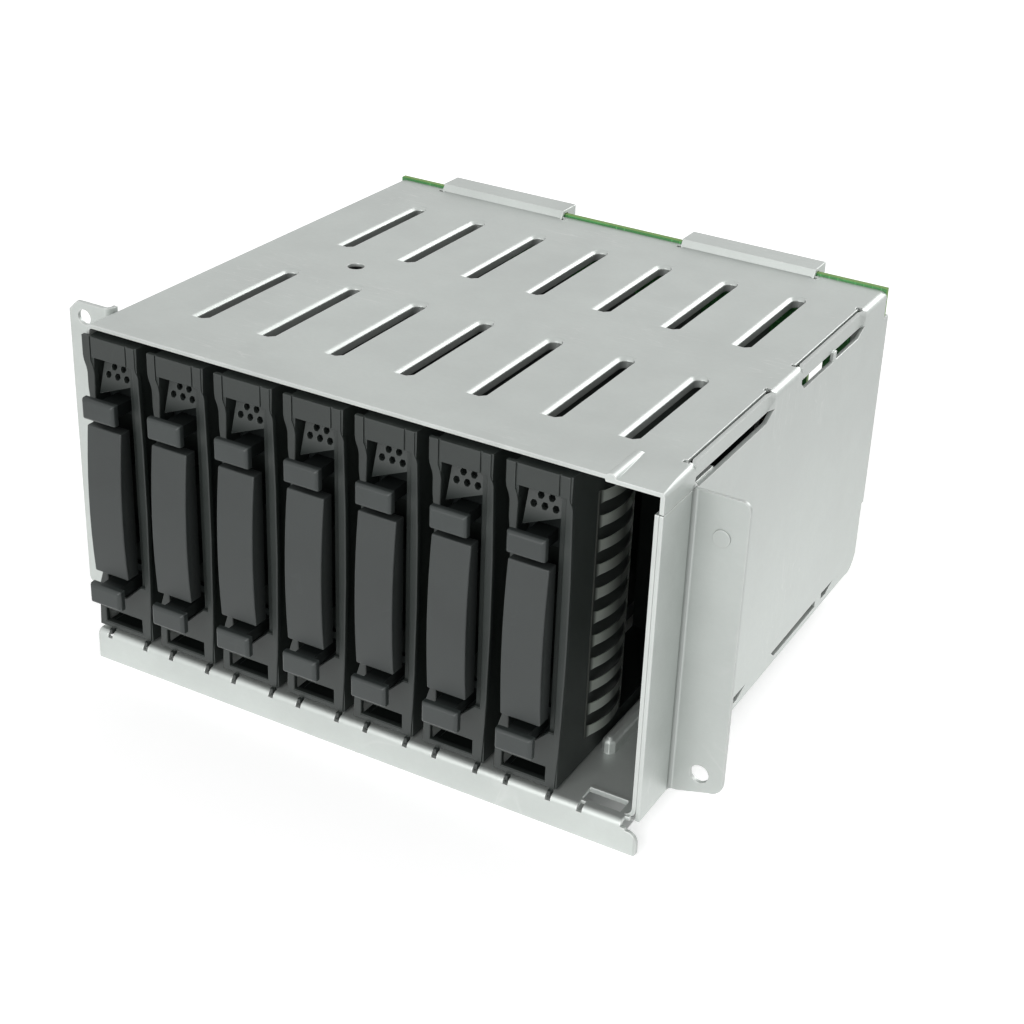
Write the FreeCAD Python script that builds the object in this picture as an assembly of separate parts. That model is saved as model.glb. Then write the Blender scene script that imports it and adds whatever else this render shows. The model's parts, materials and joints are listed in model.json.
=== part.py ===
import FreeCAD, Part
import math
import os

# Eight-bay cage for 2.5 inch hot swap drives standing on edge.
# Seven bays hold removable filler blanks, and the last bay is open.
# Millimetres.  While it is built, the cage's own corner is the origin:
# x from the outer face of the left wall to the right,
# y from the front edge of the top sheet to the rear,
# z up from the underside of the floor.
# The last step moves every piece to the centre of the whole cage's footprint.

V = FreeCAD.Vector

# ---- bays -----------------------------------------------------------------
bay_count = 8
bay_pitch = 18.5            # spacing of the guide lines between bays
bay_start = -0.1            # first bay's datum, from the left wall's outer face
bay_end = 1.9               # the right wall's outer face, short of the last bay's full pitch

# ---- folded sheet shell ---------------------------------------------------
sheet = 1.0                 # steel sheet
cage_depth = 129.0          # top sheet, front edge to rear edge
cage_height = 80.7          # underside of the floor to the top
corner_radius = 1.8         # outer radius of the shell's long bends
wall_overlap = 3.3          # side walls run past the top's rear edge, beside the board
wall_rear_drop = 7.3        # that overlap stops this far under the top
wall_foot_overlap = 2.0     # overlap near the floor
wall_foot_height = 19.0     # and how high it reaches
wall_corner = 5.0           # rounded lower rear corner of a side wall
butt_gap = 0.2              # gap between sheet edges that meet
past = 1.0                  # how far a cutting shape runs past what it cuts

# ---- guide slots in the top -----------------------------------------------
slot_length = 37.6
front_row = 17.2            # front edge to the first row of slots
rear_margin = 16.5          # last row's rear end to the rear edge
slot_width = 3.7            # clear opening
rim_depth = 2.7             # how far the bent rim hangs below the top face
rim_roll = 0.8              # size of the bend where the top turns down into the rim
slot_nose = 1.2             # cut-off right corner of a slot's front end
slot_sides = 6              # flat runs round a slot's rear end
rim_sides = 4               # and those that the rim follows, from the left

# ---- guide windows in the right-hand corner ---------------------------------
window_lead = 2.8           # window starts this far ahead of the slot row
window_tail = 1.4           # and ends this far behind it
strip_step = 0.8            # how far the strip is pressed inwards
strip_ramp = 2.2            # length of the strip's slanted ends
strip_top = 0.3             # strip lies this far under the top face
strip_height = 3.9
window_height = 1.9         # open window under the strip
slit = 0.35                 # opening between top sheet and strip
window_tip = 4.4            # length of the window's pointed rear end
relief = 1.5                # square notches at the strips' ends
low_window = 1.6            # lower windows: height of the sill above the underside
bridge = 1.8                # spot bridge across the rear upper window
bridge_lap = 0.45           # how far it runs past the window's edges
low_bridge = 4.0            # bridge across the rear lower window
low_bridge_set = 8.0        # its rear edge, ahead of the window's rear end

# ---- lowered right front corner of the top ---------------------------------
bead_from_right = 12.1      # bead's centre to the right wall's outer face
bead_length = 12.5
bead_radius = 1.3
bead_rise = 0.5
bead_taper = 1.6            # its slanted rear end
joggle = 0.6

# ---- rear hooks that hold the board ----------------------------------------
hook_starts = (14.8, 88.6)  # left ends, from the left wall
hook_width = 38.0
hook_run = 8.0              # from the fold to the turned-down end
hook_rise = 1.8
hook_drop = 2.9             # height of the turned-down end
hook_root = 1.8             # fold line ahead of the rear edge
hook_slope = 1.2            # length of the slanted step
hook_relief = 1.6           # square notches at the ends of the fold

# ---- top hole --------------------------------------------------------------
tool_hole_x = 28.6
tool_hole_y = 65.0
tool_hole_radius = 2.1

# ---- floor tray ------------------------------------------------------------
lip_front = 2.9             # lip's front face ahead of the cage's front edge
lip_drop = 6.9              # lip's lower edge under the floor
lip_bend = 1.5              # outer radius of the lip's bend
lip_sides = 4               # flat runs round that bend
lip_left = 0.3              # overhang past the left wall
lip_right = 1.0             # overhang past the right wall
lip_corner = 2.6            # rounded right-hand end of the lip
lip_foot = 1.0              # and its lower corner
leg_depth = 26.0            # upturned inner leg behind the right bracket
leg_radius = 3.0
catch_left = 2.5            # catch window in each bay, from the bay's datum
catch_width = 9.4
catch_front = 0.2
catch_depth = 3.8
catch_bar = 0.8             # rolled rear edge of the catch window
catch_rise = 0.35
notch_width = 1.2
notch_places = (3.4, 14.1)  # relief notches in the lip's bend, from the bay's datum
notch_depth = 2.3
guide_width = 3.4           # pressed guide beads on the floor
guide_height = 4.0
guide_shift = -0.4          # bead's centre from the guide line
guide_skin = 0.9
guide_chamfer = 1.0
guide_nose = 1.1            # cut-off corners of a bead's nose
board_tab_width = 12.0      # upturned tabs that take the board's lower screws
board_tab_height = 11.0
board_tab_inset = 20.0
board_tab_edge = 1.0        # metal left above the screw's head

# ---- mounting ears ---------------------------------------------------------
ear_plane = 15.7            # rear face of the right ear
right_ear_reach = 12.7
right_ear_drop = 5.7        # under the cage's top
ear_bend = 2.0
ear_corner = 2.2
ear_toe = 3.4               # rounding at the foot of the right ear
ear_toe_rise = 2.0          # its lower edge climbs this far outwards
right_hole_x = 6.9          # from the right wall's outer face
right_hole_z = 6.2
right_hole_radius = 2.2
locator_drop = 9.6          # dimple's centre under the right ear's top
locator_radius = 2.0
locator_rise = 0.4
locator_wall = 0.2
left_ear_plane = 8.9        # rear face of the left ear
left_ear_reach = 12.0
left_ear_rise = 0.5         # over the cage's top
left_ear_bottom = 5.0
left_leg_depth = 16.0
left_leg_margin = 3.0       # the leg stops this far under the shell's top
left_hole_x = 7.6
left_hole_drop = 3.6
left_hole_radius = 1.85
ear_chamfer = 2.4

# ---- backplane board -------------------------------------------------------
board_thick = 1.6
board_rise = 0.6            # board's top edge above the top sheet
board_foot = 2.6            # board's lower edge above the floor's underside
board_side_gap = 0.3
board_vent_width = 3.8
board_vent_margin = 1.0     # vents stop this far inside the sockets' ends
flange_reach = 7.0          # shell's rear flanges that take the upper screws
flange_drop = 0.4           # under the end of the walls' rear overlap
flange_clear = 2.0          # between the flanges and the drive sockets
flange_height = 11.0
flange_screw = 3.85         # screw's centre from the wall's inner face
screw_radius = 1.5
screw_sides = 12            # flat sides that stand for its round shank
screw_head_radius = 3.0     # hexagonal head, over its corners
screw_head = 1.6
screw_length = 5.0
screw_gap = 0.1             # radial clearance of the screw holes
socket_width = 5.4          # drive sockets
socket_depth = 7.6
socket_slot = 1.6
socket_key = 18.9           # height of the key between the two halves of the slot
socket_lift = 17.0          # socket's lower end above the floor's top
data_width = 22.0           # data sockets on the rear face
data_height = 9.0
data_depth = 11.0
data_wall = 0.9
data_tongue_side = 2.7      # tongue's side edges, from the socket's outside
data_tongue_set = 1.8       # its front edge, behind the socket's mouth
data_places = (30.0, 94.0)
data_lift = 56.0
power_width = 21.0
power_height = 9.6
power_depth = 10.5
power_lift = 14.0
power_place = 62.0
power_pins = 5
power_row_pitch = 4.4
power_floor = 2.0           # wall between the pins' cells and the board
pin_cell = 3.0
pin_pitch = 4.0

# ---- filler blanks ---------------------------------------------------------
blank_count = bay_count - 1
blank_left = 1.7            # body's left face, from the bay's datum
blank_width = 13.6
blank_length = 100.0        # front plane of the cage to the blank's rear end
blank_top_gap = 1.3         # under the top sheet
blank_floor_gap = 0.7       # over the floor
blank_wall = 1.2
bezel_face = 1.5            # bezel's front face ahead of the cage's front edge
bezel_back = 0.3            # bezel's rear face ahead of the cage's front edge
head_left = -0.1            # bezel's outline, from the bay's datum
head_right = 14.9
head_height = 5.0
rail_right = 16.1           # widest point of the bowed right rail
foot_left = -0.6
foot_right = 14.9
waist_left = 1.5
window_left = 2.9           # bezel's main window
window_right = 12.7
rail_step = 2.2             # height of the bend in the right edge under the head
rail_band = 1.3             # sunk inner band of the rail: its width
rail_sink = 0.8             # and depth
rail_shoulder = 0.8         # how far the rail stands out at that step
arm_inside = 2.2            # inner edge of the slanted arm, where it leaves the head
arm_outside = 0.9           # the arm's edges below its bend
arm_inner = 3.1
arm_bend = 4.0              # height of the bend under the head
bend_ease = 0.2             # an edge's bend: share of its shift and height at each end
bend_reach = 0.3
foot_turn = 0.5             # foot's left edge leans this far inwards up to the lower tab
web_face = 4.6              # web behind the window, from the front plane
web_thick = 1.4
box_depth = 28.5            # closed side walls end here
rail_height = 4.0           # top and bottom rails of the rear skeleton
mid_bar = 62.0              # middle upright of the skeleton
upright = 3.6
rear_lead = 1.8             # chamfer that leads the rear end into its bay
foot_plate = 10.0           # height of the plate above the blank's underside
gusset = 4.5
hand_hole_low = 1.5         # rectangular opening in the foot
hand_hole_high = 5.1
hand_hole_left = 1.5
hand_hole_right = 12.4
hand_hole_depth = 3.0
nib_width = 0.8             # nibs under the foot, in the lip's notches
nib_reach = 1.0             # ahead of the bezel's face
nib_depth = 1.6
nib_drop = 1.3
seam_places = (2.2, 12.35)  # seams down the head, from the bay's datum
seam_width = 0.35
seam_depth = 0.4
vent_left = 4.2             # vent panel's left edge, clear of the arm
vent_rake = 2.6             # how far the vent panel leans
vent_depth = 1.3            # vent panel's top edge behind the front plane
vent_drop = 8.6             # its lower edge at the left, under the head
vent_rise = 3.2             # and how much higher it ends at the right
vent_skin = 1.2
vent_pitch = 2.6
vent_rows = (2, 3)          # holes in each row, from the top
vent_row = 2.0              # spacing of the rows
vent_size = 0.85            # corner radius of a hexagonal hole

# ---- latches and grip ------------------------------------------------------
tab_left = 3.3              # finger tabs, from the bay's datum
tab_width = 9.2
tab_height = 5.3
tab_chamfer = 0.6
upper_tab_drop = 12.9       # blank's top to the upper tab's top
upper_tab_face = 6.8        # tab's front face ahead of the front plane
lower_tab_lift = 10.9       # blank's underside to the lower tab's underside
lower_tab_face = 8.6
tab_depth = 1.9
latch_travel = 1.6
latch_gap = 0.5             # left between tab and grip at the end of the travel
stem_width = 5.0
stem_height = 3.0
stem_inset = 0.5            # from the tab's edge nearest the grip
slide_plate = 1.2
slide_length = 13.0
slide_clear = 0.3
grip_left = 3.1
grip_width = 9.8
grip_end = 5.0              # grip's face at its ends, ahead of the front plane
grip_lean = 0.8             # its lower end stands out further
grip_bow = 1.0
grip_skin = 1.8
grip_skirt = 3.0            # depth of the grip's sides
post_width = 4.0
post_height = 5.0
post_inset = 6.0

# ---- spring finger strip ---------------------------------------------------
strip_front = 10.8          # from the front plane
strip_depth = 17.4
strip_band = 1.4
strip_skin = 0.25
finger_pitch = 5.9
finger_height = 3.2
finger_bulge = 2.1
finger_low = 7.9            # lowest finger's centre above the blank's underside
finger_top = 8.2            # least room between top finger's centre and blank's top

# ---- worked out from the sizes above ---------------------------------------
cage_width = bay_start + bay_count * bay_pitch - bay_end
datums = [bay_start + i * bay_pitch for i in range(bay_count)]
guides = datums[1:]
rear_row = cage_depth - rear_margin - slot_length
rows = (front_row, rear_row)
inner_right = cage_width - sheet
under_top = cage_height - sheet
blank_top = under_top - blank_top_gap
blank_bottom = sheet + blank_floor_gap
blank_right = blank_left + blank_width
head_bottom = blank_top - head_height
upper_tab_top = blank_top - upper_tab_drop
upper_tab_bottom = upper_tab_top - tab_height
lower_tab_bottom = blank_bottom + lower_tab_lift
lower_tab_top = lower_tab_bottom + tab_height
grip_top = upper_tab_bottom - latch_travel - latch_gap
grip_bottom = lower_tab_top + latch_travel + latch_gap
wall_rear_top = cage_height - wall_rear_drop
right_ear_top = cage_height - right_ear_drop
locator_z = right_ear_top - locator_drop
left_ear_top = cage_height + left_ear_rise
flange_high = wall_rear_top - flange_drop
flange_low = flange_high - flange_height
socket_low = sheet + socket_lift
socket_high = flange_low - flange_clear
board_front = cage_depth
board_back = cage_depth + board_thick
board_top = cage_height + board_rise


# ---- small helpers ---------------------------------------------------------
tiny = 1e-6                 # lengths under this count as nothing


def box(x1, x2, y1, y2, z1, z2):
    return Part.makeBox(x2 - x1, y2 - y1, z2 - z1, V(x1, y1, z1))


def cylinder(radius, start, end):
    axis = V(*end) - V(*start)
    return Part.makeCylinder(radius, axis.Length, V(*start), axis)


def outline(steps, place):
    """Closed wire.  A step is a point, or ('arc', middle, end) from the last point."""
    edges = []
    here = steps[0]
    for step in steps[1:] + [steps[0]]:
        if step[0] == "arc":
            middle, end = step[1], step[2]
            edges.append(Part.Arc(place(*here), place(*middle), place(*end)).toShape())
            here = end
        elif math.dist(here, step) > tiny:
            edges.append(Part.LineSegment(place(*here), place(*step)).toShape())
            here = step
    return Part.Wire(edges)


def prism_xz(steps, y1, y2):
    face = Part.Face(outline(steps, lambda x, z: V(x, y1, z)))
    return face.extrude(V(0, y2 - y1, 0))


def prism_yz(steps, x1, x2):
    face = Part.Face(outline(steps, lambda y, z: V(x1, y, z)))
    return face.extrude(V(x2 - x1, 0, 0))


def prism_xy(steps, z1, z2):
    face = Part.Face(outline(steps, lambda x, y: V(x, y, z1)))
    return face.extrude(V(0, 0, z2 - z1))


def quarter(centre, radius, start, end):
    """Arc step about a centre, between two angles in degrees."""
    middle = math.radians((start + end) / 2)
    last = math.radians(end)
    return ("arc",
            (centre[0] + radius * math.cos(middle), centre[1] + radius * math.sin(middle)),
            (centre[0] + radius * math.cos(last), centre[1] + radius * math.sin(last)))


def turn(centre, radius, start, end, count):
    """Points along an arc that is made as a few flat runs, both ends included."""
    points = []
    for k in range(count + 1):
        angle = math.radians(start + (end - start) * k / count)
        points.append((centre[0] + radius * math.cos(angle), centre[1] + radius * math.sin(angle)))
    return points


def stud(radius, sides, centre, y1, y2):
    """Bar along y with a regular many-sided section."""
    return prism_xz(turn(centre, radius, 0, 360, sides)[:-1], y1, y2)


def join(first, *others):
    return first.multiFuse(list(others)).removeSplitter()


# ---- shell -----------------------------------------------------------------
def folded_profile(left, right, top, radius):
    """Inverted U, closed along its foot, with two rounded upper corners."""
    return [(left, 0.0),
            (left, top - radius),
            quarter((left + radius, top - radius), radius, 180, 90),
            (right - radius, top),
            quarter((right - radius, top - radius), radius, 90, 0),
            (right, 0.0)]


def rear_turn(centre, radius, count):
    """Flat runs round a slot's rear end, from its left side, as many as are asked for."""
    return turn(centre, radius, 180, 180 - 180 * count / slot_sides, count)


def rim_flare(left, front, centre, half):
    """Cutter for the bend from the top face into the rim, along the left side and round the rear."""
    rings = []
    for grow in (0.0, rim_roll + past):
        plan = ([(left - grow, front)] + rear_turn(centre, half + grow, rim_sides)
                + [centre, (centre[0], front)])
        level = cage_height - rim_roll + grow
        rings.append([V(x, y, level) for x, y in plan])
    low, high = rings
    faces = [Part.Face(Part.makePolygon(ring + ring[:1])) for ring in rings]
    for i in range(len(low)):
        corners = [low[i - 1], low[i], high[i], high[i - 1]]
        faces.append(Part.Face(Part.makePolygon(corners + corners[:1])))
    solid = Part.makeSolid(Part.makeShell(faces))
    if solid.Volume < 0:
        solid.reverse()
    return solid


def guide_slot(guide, front):
    """Cutter for a slot, and the rim bent down along its left side and rear end."""
    half = slot_width / 2
    left = guide - half
    right = guide + half
    centre = (guide, front + slot_length - rim_roll - half)
    opening = prism_xy([(left, front)] + rear_turn(centre, half, slot_sides)
                       + [(right, front + slot_nose), (right - slot_nose, front)],
                       under_top - past, cage_height + past)
    inner = rear_turn(centre, half, rim_sides)
    rim = prism_xy([(left - sheet, front)] + rear_turn(centre, half + sheet, rim_sides)
                   + inner[::-1] + [(left, front)], cage_height - rim_depth, cage_height)
    flare = rim_flare(left, front, centre, half)
    return join(opening, flare), rim.cut(flare)


def window_span(front):
    return front - window_lead, front + slot_length + window_tail


def corner_strip(front):
    """Strip of the upper right corner, pressed inwards as a guide for the last bay."""
    y1, y2 = window_span(front)
    outer = cage_width
    inner = cage_width - sheet
    steps = [(inner, y1), (outer, y1),
             (outer - strip_step, y1 + strip_ramp), (outer - strip_step, y2 - strip_ramp),
             (outer, y2), (inner, y2),
             (inner - strip_step, y2 - strip_ramp), (inner - strip_step, y1 + strip_ramp)]
    high = cage_height - strip_top
    return prism_xy(steps, high - strip_height, high)


def corner_opening(front):
    """Everything cut away round a corner strip."""
    y1, y2 = window_span(front)
    low = cage_height - strip_top - strip_height
    inside = inner_right - strip_step - slit
    slit_cut = box(inside, cage_width + past, y1, y2, low, cage_height + past)
    window = prism_yz([(y1, low), (y1 + strip_ramp, low - window_height),
                       (y2 - window_tip, low - window_height), (y2, low)],
                      inner_right - past, cage_width + past)
    cuts = [slit_cut, window]
    for y in (y1, y2):
        cuts.append(box(inside - relief / 2, inside + relief / 2, y - relief / 2, y + relief / 2,
                        under_top - past, cage_height + past))
    return join(*cuts)


def low_opening(front):
    y1, y2 = window_span(front)
    return prism_yz([(y1, low_window + window_height), (y1 + strip_ramp, low_window),
                     (y2 - window_tip, low_window), (y2, low_window + window_height)],
                    inner_right - past, cage_width + past)


def rear_hook(left):
    """Tongue that steps up over the board's edge and turns down behind it."""
    right = left + hook_width
    fold = cage_depth - hook_root
    over = cage_height + hook_rise
    under = over - sheet
    end = fold + hook_run
    tongue = prism_yz([(fold, under_top), (fold, cage_height), (fold + hook_slope, over), (end, over),
                       (end, over - hook_drop), (end - sheet, over - hook_drop),
                       (end - sheet, under), (fold + hook_slope + sheet / 2, under),
                       (fold + sheet / 2, under_top)], left, right)
    cheek = box(right - sheet, right, board_back + butt_gap, end, over - hook_drop, over)
    return join(tongue, cheek)


def hook_opening(left):
    right = left + hook_width
    fold = cage_depth - hook_root
    parts = [box(left, right, fold, cage_depth + past, under_top - past, cage_height + past)]
    for x in (left, right):
        parts.append(box(x - hook_relief / 2, x + hook_relief / 2, fold - hook_relief / 2,
                         fold + hook_relief / 2, under_top - past, cage_height + past))
    return join(*parts)


def front_corner():
    """Front corner of the top that slopes down beside its bead: cut, then added metal."""
    bead = cage_width - bead_from_right
    low = cage_height - joggle
    cut = prism_yz([(-past, low), (0.0, low), (bead_length, cage_height), (bead_length, cage_height + past),
                    (-past, cage_height + past)], bead, cage_width + past)
    plate = prism_yz([(0.0, under_top - joggle), (0.0, under_top), (bead_length, under_top)],
                     bead, inner_right)
    crown = cage_height + bead_rise
    side = prism_yz([(0.0, under_top - joggle), (0.0, crown), (bead_length, crown),
                     (bead_length + bead_taper, under_top), (bead_length + bead_taper, under_top - joggle)],
                    bead - bead_radius, bead + bead_radius)
    axis_z = crown - bead_radius
    ridge = cylinder(bead_radius, (bead, 0.0, axis_z), (bead, bead_length + bead_taper, axis_z))
    return cut, join(plate, ridge.common(side))


def wall_rear(left):
    """Rear end of a side wall, which runs past the top and is stepped and rounded near the floor."""
    low_rear = cage_depth + wall_foot_overlap
    corner = (low_rear - wall_corner, wall_corner)
    return prism_yz([(cage_depth - wall_corner, 0.0), quarter(corner, wall_corner, -90, 0),
                     (low_rear, wall_foot_height), (cage_depth + wall_overlap, wall_foot_height),
                     (cage_depth + wall_overlap, wall_rear_top), (cage_depth - wall_corner, wall_rear_top)],
                    left, left + sheet)


def cage_shell():
    outer = prism_xz(folded_profile(0.0, cage_width, cage_height, corner_radius), 0.0, cage_depth)
    hollow = prism_xz(folded_profile(sheet, inner_right, under_top, corner_radius - sheet),
                      -past, cage_depth + past)
    shell = outer.cut(hollow)
    cuts = [box(inner_right - past, cage_width + past, -past, ear_plane + butt_gap,
                -past, right_ear_top + butt_gap)]
    adds = []
    for guide in guides:
        for front in rows:
            opening, rim = guide_slot(guide, front)
            cuts.append(opening)
            adds.append(rim)
    for front in rows:
        cuts.append(corner_opening(front))
        adds.append(corner_strip(front))
        cuts.append(low_opening(front))
    for left in hook_starts:
        cuts.append(hook_opening(left))
        adds.append(rear_hook(left))
    corner_cut, corner_add = front_corner()
    cuts.append(corner_cut)
    adds.append(corner_add)
    cuts.append(cylinder(tool_hole_radius, (tool_hole_x, tool_hole_y, under_top - past),
                         (tool_hole_x, tool_hole_y, cage_height + past)))
    middle = rear_row + slot_length / 2
    sill = cage_height - strip_top - strip_height - window_height
    adds.append(box(inner_right, cage_width, middle - bridge / 2, middle + bridge / 2,
                    sill - bridge_lap, sill + window_height + bridge_lap))
    low_end = window_span(rear_row)[1] - low_bridge_set
    adds.append(box(inner_right, cage_width, low_end - low_bridge, low_end,
                    low_window - bridge_lap, low_window + window_height + bridge_lap))
    for left in (0.0, inner_right):
        cuts.append(box(left - past, left + sheet + past, cage_depth - wall_corner, cage_depth + past,
                        -past, wall_foot_height))
        adds.append(wall_rear(left))
    for left, right in ((sheet, sheet + flange_reach), (inner_right - flange_reach, inner_right)):
        flange = box(left, right, cage_depth - sheet, cage_depth, flange_low, flange_high)
        centre = screw_place(left == sheet)
        adds.append(flange.cut(stud(screw_radius, screw_sides, centre, cage_depth - sheet - past,
                                    cage_depth + past)))
    return join(shell.cut(cuts), *adds)


def screw_place(on_left):
    """Centre of an upper board screw, in its flange."""
    middle = (flange_low + flange_high) / 2
    reach = sheet + flange_screw
    return (reach if on_left else cage_width - reach, middle)


# ---- floor tray --------------------------------------------------------------
def floor_guide(guide, front):
    """Pressed bead with tapered noses and sloping shoulders, hollow underneath."""
    centre = guide + guide_shift
    half = guide_width / 2
    rear = front + slot_length
    cheek = half - guide_nose
    plan = [(centre - half, front + guide_nose), (centre - cheek, front),
            (centre + cheek, front), (centre + half, front + guide_nose),
            (centre + half, rear - guide_nose), (centre + cheek, rear),
            (centre - cheek, rear), (centre - half, rear - guide_nose)]
    solid = prism_xy(plan, 0.0, sheet + guide_height)
    top_edges = [e for e in solid.Edges if e.BoundBox.ZMin > sheet + guide_height - tiny]
    solid = solid.makeChamfer(guide_chamfer, top_edges)
    core = box(centre - half + guide_skin, centre + half - guide_skin, front + half, rear - half,
               -past, sheet + guide_height - guide_skin)
    return solid, core


def front_lip():
    """Lip turned down along the floor's front edge, shaped at its right end."""
    face = -lip_front
    inner = lip_bend - sheet
    profile = ([(face, -lip_drop)]
               + turn((face + lip_bend, sheet - lip_bend), lip_bend, 180, 90, lip_sides)
               + [(0.0, sheet), (0.0, 0.0)]
               + turn((face + lip_bend, -inner), inner, 90, 180, lip_sides)
               + [(face + sheet, -lip_drop)])
    right = cage_width + lip_right
    bend = prism_yz(profile, -lip_left, right)
    shoulder = -sheet
    shape = [(-lip_left, -lip_drop), (-lip_left, sheet), (inner_right - sheet, sheet),
             (inner_right - sheet, shoulder),
             (right - lip_corner, shoulder),
             quarter((right - lip_corner, shoulder - lip_corner), lip_corner, 90, 0),
             (right, -lip_drop + lip_foot),
             quarter((right - lip_foot, -lip_drop + lip_foot), lip_foot, 0, -90)]
    return bend.common(prism_xz(shape, face - past, past))


def floor_tray():
    flat = box(sheet, inner_right - leg_radius, 0.0, cage_depth - sheet, 0.0, sheet)
    side = box(inner_right - leg_radius, inner_right, leg_depth, cage_depth - sheet, 0.0, sheet)
    bend = inner_right - leg_radius
    leg = prism_xz([(bend, 0.0), quarter((bend, leg_radius), leg_radius, -90, 0),
                    (inner_right, right_ear_top), (inner_right - sheet, right_ear_top),
                    (inner_right - sheet, leg_radius),
                    quarter((bend, leg_radius), leg_radius - sheet, 0, -90)], 0.0, leg_depth)
    adds = [side, leg, front_lip()]
    cuts = []
    for guide in guides:
        for front in rows:
            solid, core = floor_guide(guide, front)
            adds.append(solid)
            cuts.append(core)
    for datum in datums:
        left = datum + catch_left
        right = left + catch_width
        rear = catch_front + catch_depth
        cuts.append(box(left, right, catch_front, rear, -past, sheet + past))
        adds.append(box(left, right, rear, rear + catch_bar, 0.0, sheet + catch_rise))
        for place in notch_places:
            middle = datum + place
            cuts.append(box(middle - notch_width / 2, middle + notch_width / 2,
                            -lip_front - past, -lip_front + notch_depth, -sheet / 2, sheet + past))
    for left in board_tabs():
        tab = box(left, left + board_tab_width, cage_depth - sheet, cage_depth, 0.0, board_tab_height)
        adds.append(tab)
        cuts.append(stud(screw_radius, screw_sides, low_screw(left), cage_depth - sheet - past,
                         cage_depth + past))
    return join(flat, *adds).cut(cuts)


def board_tabs():
    return (board_tab_inset, cage_width - board_tab_inset - board_tab_width)


def low_screw(left):
    """Centre of a lower board screw, in an upturned tab."""
    return left + board_tab_width / 2, board_tab_height - screw_head_radius - board_tab_edge


# ---- ears --------------------------------------------------------------------
def right_ear():
    leg = cage_width - sheet
    tip = cage_width + right_ear_reach
    front = ear_plane - sheet
    inner = ear_bend - sheet
    plan = [(leg, 0.0), (cage_width, 0.0), (cage_width, front - inner),
            quarter((cage_width + inner, front - inner), inner, 180, 90),
            (tip, front), (tip, ear_plane), (cage_width + inner, ear_plane),
            quarter((cage_width + inner, ear_plane - ear_bend), ear_bend, 90, 180)]
    bracket = prism_xy(plan, 0.0, right_ear_top)
    shape = [(leg - past, 0.0), (cage_width + ear_bend, 0.0), (tip - ear_toe, ear_toe_rise),
             quarter((tip - ear_toe, ear_toe_rise + ear_toe), ear_toe, -90, 0),
             (tip, right_ear_top - ear_corner),
             quarter((tip - ear_corner, right_ear_top - ear_corner), ear_corner, 0, 90),
             (leg - past, right_ear_top)]
    bracket = bracket.common(prism_xz(shape, -past, ear_plane + past))
    x = cage_width + right_hole_x
    hole = cylinder(right_hole_radius, (x, front - past, right_hole_z),
                    (x, ear_plane + past, right_hole_z))
    locator = cylinder(locator_radius, (x, front - locator_rise, locator_z),
                       (x, front + sheet / 2, locator_z))
    pocket = cylinder(locator_radius - locator_wall, (x, ear_plane - locator_rise, locator_z),
                      (x, ear_plane + past, locator_z))
    return join(bracket.cut(hole), locator).cut(pocket)


def left_ear():
    tip = -left_ear_reach
    front = left_ear_plane - sheet
    rear = left_ear_plane + left_leg_depth
    inner = ear_bend - sheet
    plan = [(tip, front), (-ear_bend, front),
            quarter((-ear_bend, front + ear_bend), ear_bend, -90, 0),
            (0.0, rear), (-sheet, rear), (-sheet, front + ear_bend),
            quarter((-ear_bend, front + ear_bend), inner, 0, -90),
            (tip, left_ear_plane)]
    bracket = prism_xy(plan, left_ear_bottom, left_ear_top)
    shape = [(tip, left_ear_bottom + ear_corner), (tip, left_ear_top - ear_chamfer),
             (tip + ear_chamfer, left_ear_top), (0.0, left_ear_top), (0.0, left_ear_bottom),
             (tip + ear_corner, left_ear_bottom),
             quarter((tip + ear_corner, left_ear_bottom + ear_corner), ear_corner, -90, -180)]
    bracket = bracket.common(prism_xz(shape, front - past, rear + past))
    bracket = bracket.cut(box(-sheet - past, past, left_ear_plane + ear_bend, rear + past,
                              cage_height - left_leg_margin, left_ear_top + past))
    z = left_ear_top - left_hole_drop
    return bracket.cut(cylinder(left_hole_radius, (-left_hole_x, front - past, z),
                                (-left_hole_x, left_ear_plane + past, z)))


# ---- backplane ---------------------------------------------------------------
def screw_places():
    places = [screw_place(True), screw_place(False)]
    for left in board_tabs():
        places.append(low_screw(left))
    return places


def backplane_board():
    shoulder = wall_rear_top + butt_gap
    wide = box(board_side_gap, cage_width - board_side_gap, board_front, board_back,
               shoulder, board_top)
    narrow = box(sheet + board_side_gap, inner_right - board_side_gap, board_front, board_back,
                 board_foot, board_top)
    cuts = []
    for place in screw_places():
        cuts.append(stud(screw_radius + screw_gap, screw_sides, place, board_front - past,
                         board_back + past))
    for guide in guides:
        centre = guide + guide_shift
        cuts.append(box(centre - board_vent_width / 2, centre + board_vent_width / 2,
                        board_front - past, board_back + past,
                        socket_low + board_vent_margin, socket_high - board_vent_margin))
    return join(wide, narrow).cut(cuts)


def drive_sockets():
    """One receptacle per bay, with the long and the short half of its contact slot."""
    low = socket_low
    high = socket_high
    wall = (socket_width - socket_slot) / 2
    solids = []
    for datum in datums:
        left = datum + blank_left + blank_width / 2 - socket_width / 2
        body = box(left, left + socket_width, board_front - socket_depth, board_front, low, high)
        slot = box(left + wall, left + wall + socket_slot, board_front - socket_depth - past,
                   board_front - wall, low + wall, high - wall)
        key = box(left + wall, left + wall + socket_slot, board_front - socket_depth,
                  board_front - wall, low + socket_key, low + socket_key + wall)
        solids.append(join(body.cut(slot), key))
    return Part.makeCompound(solids)


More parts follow.
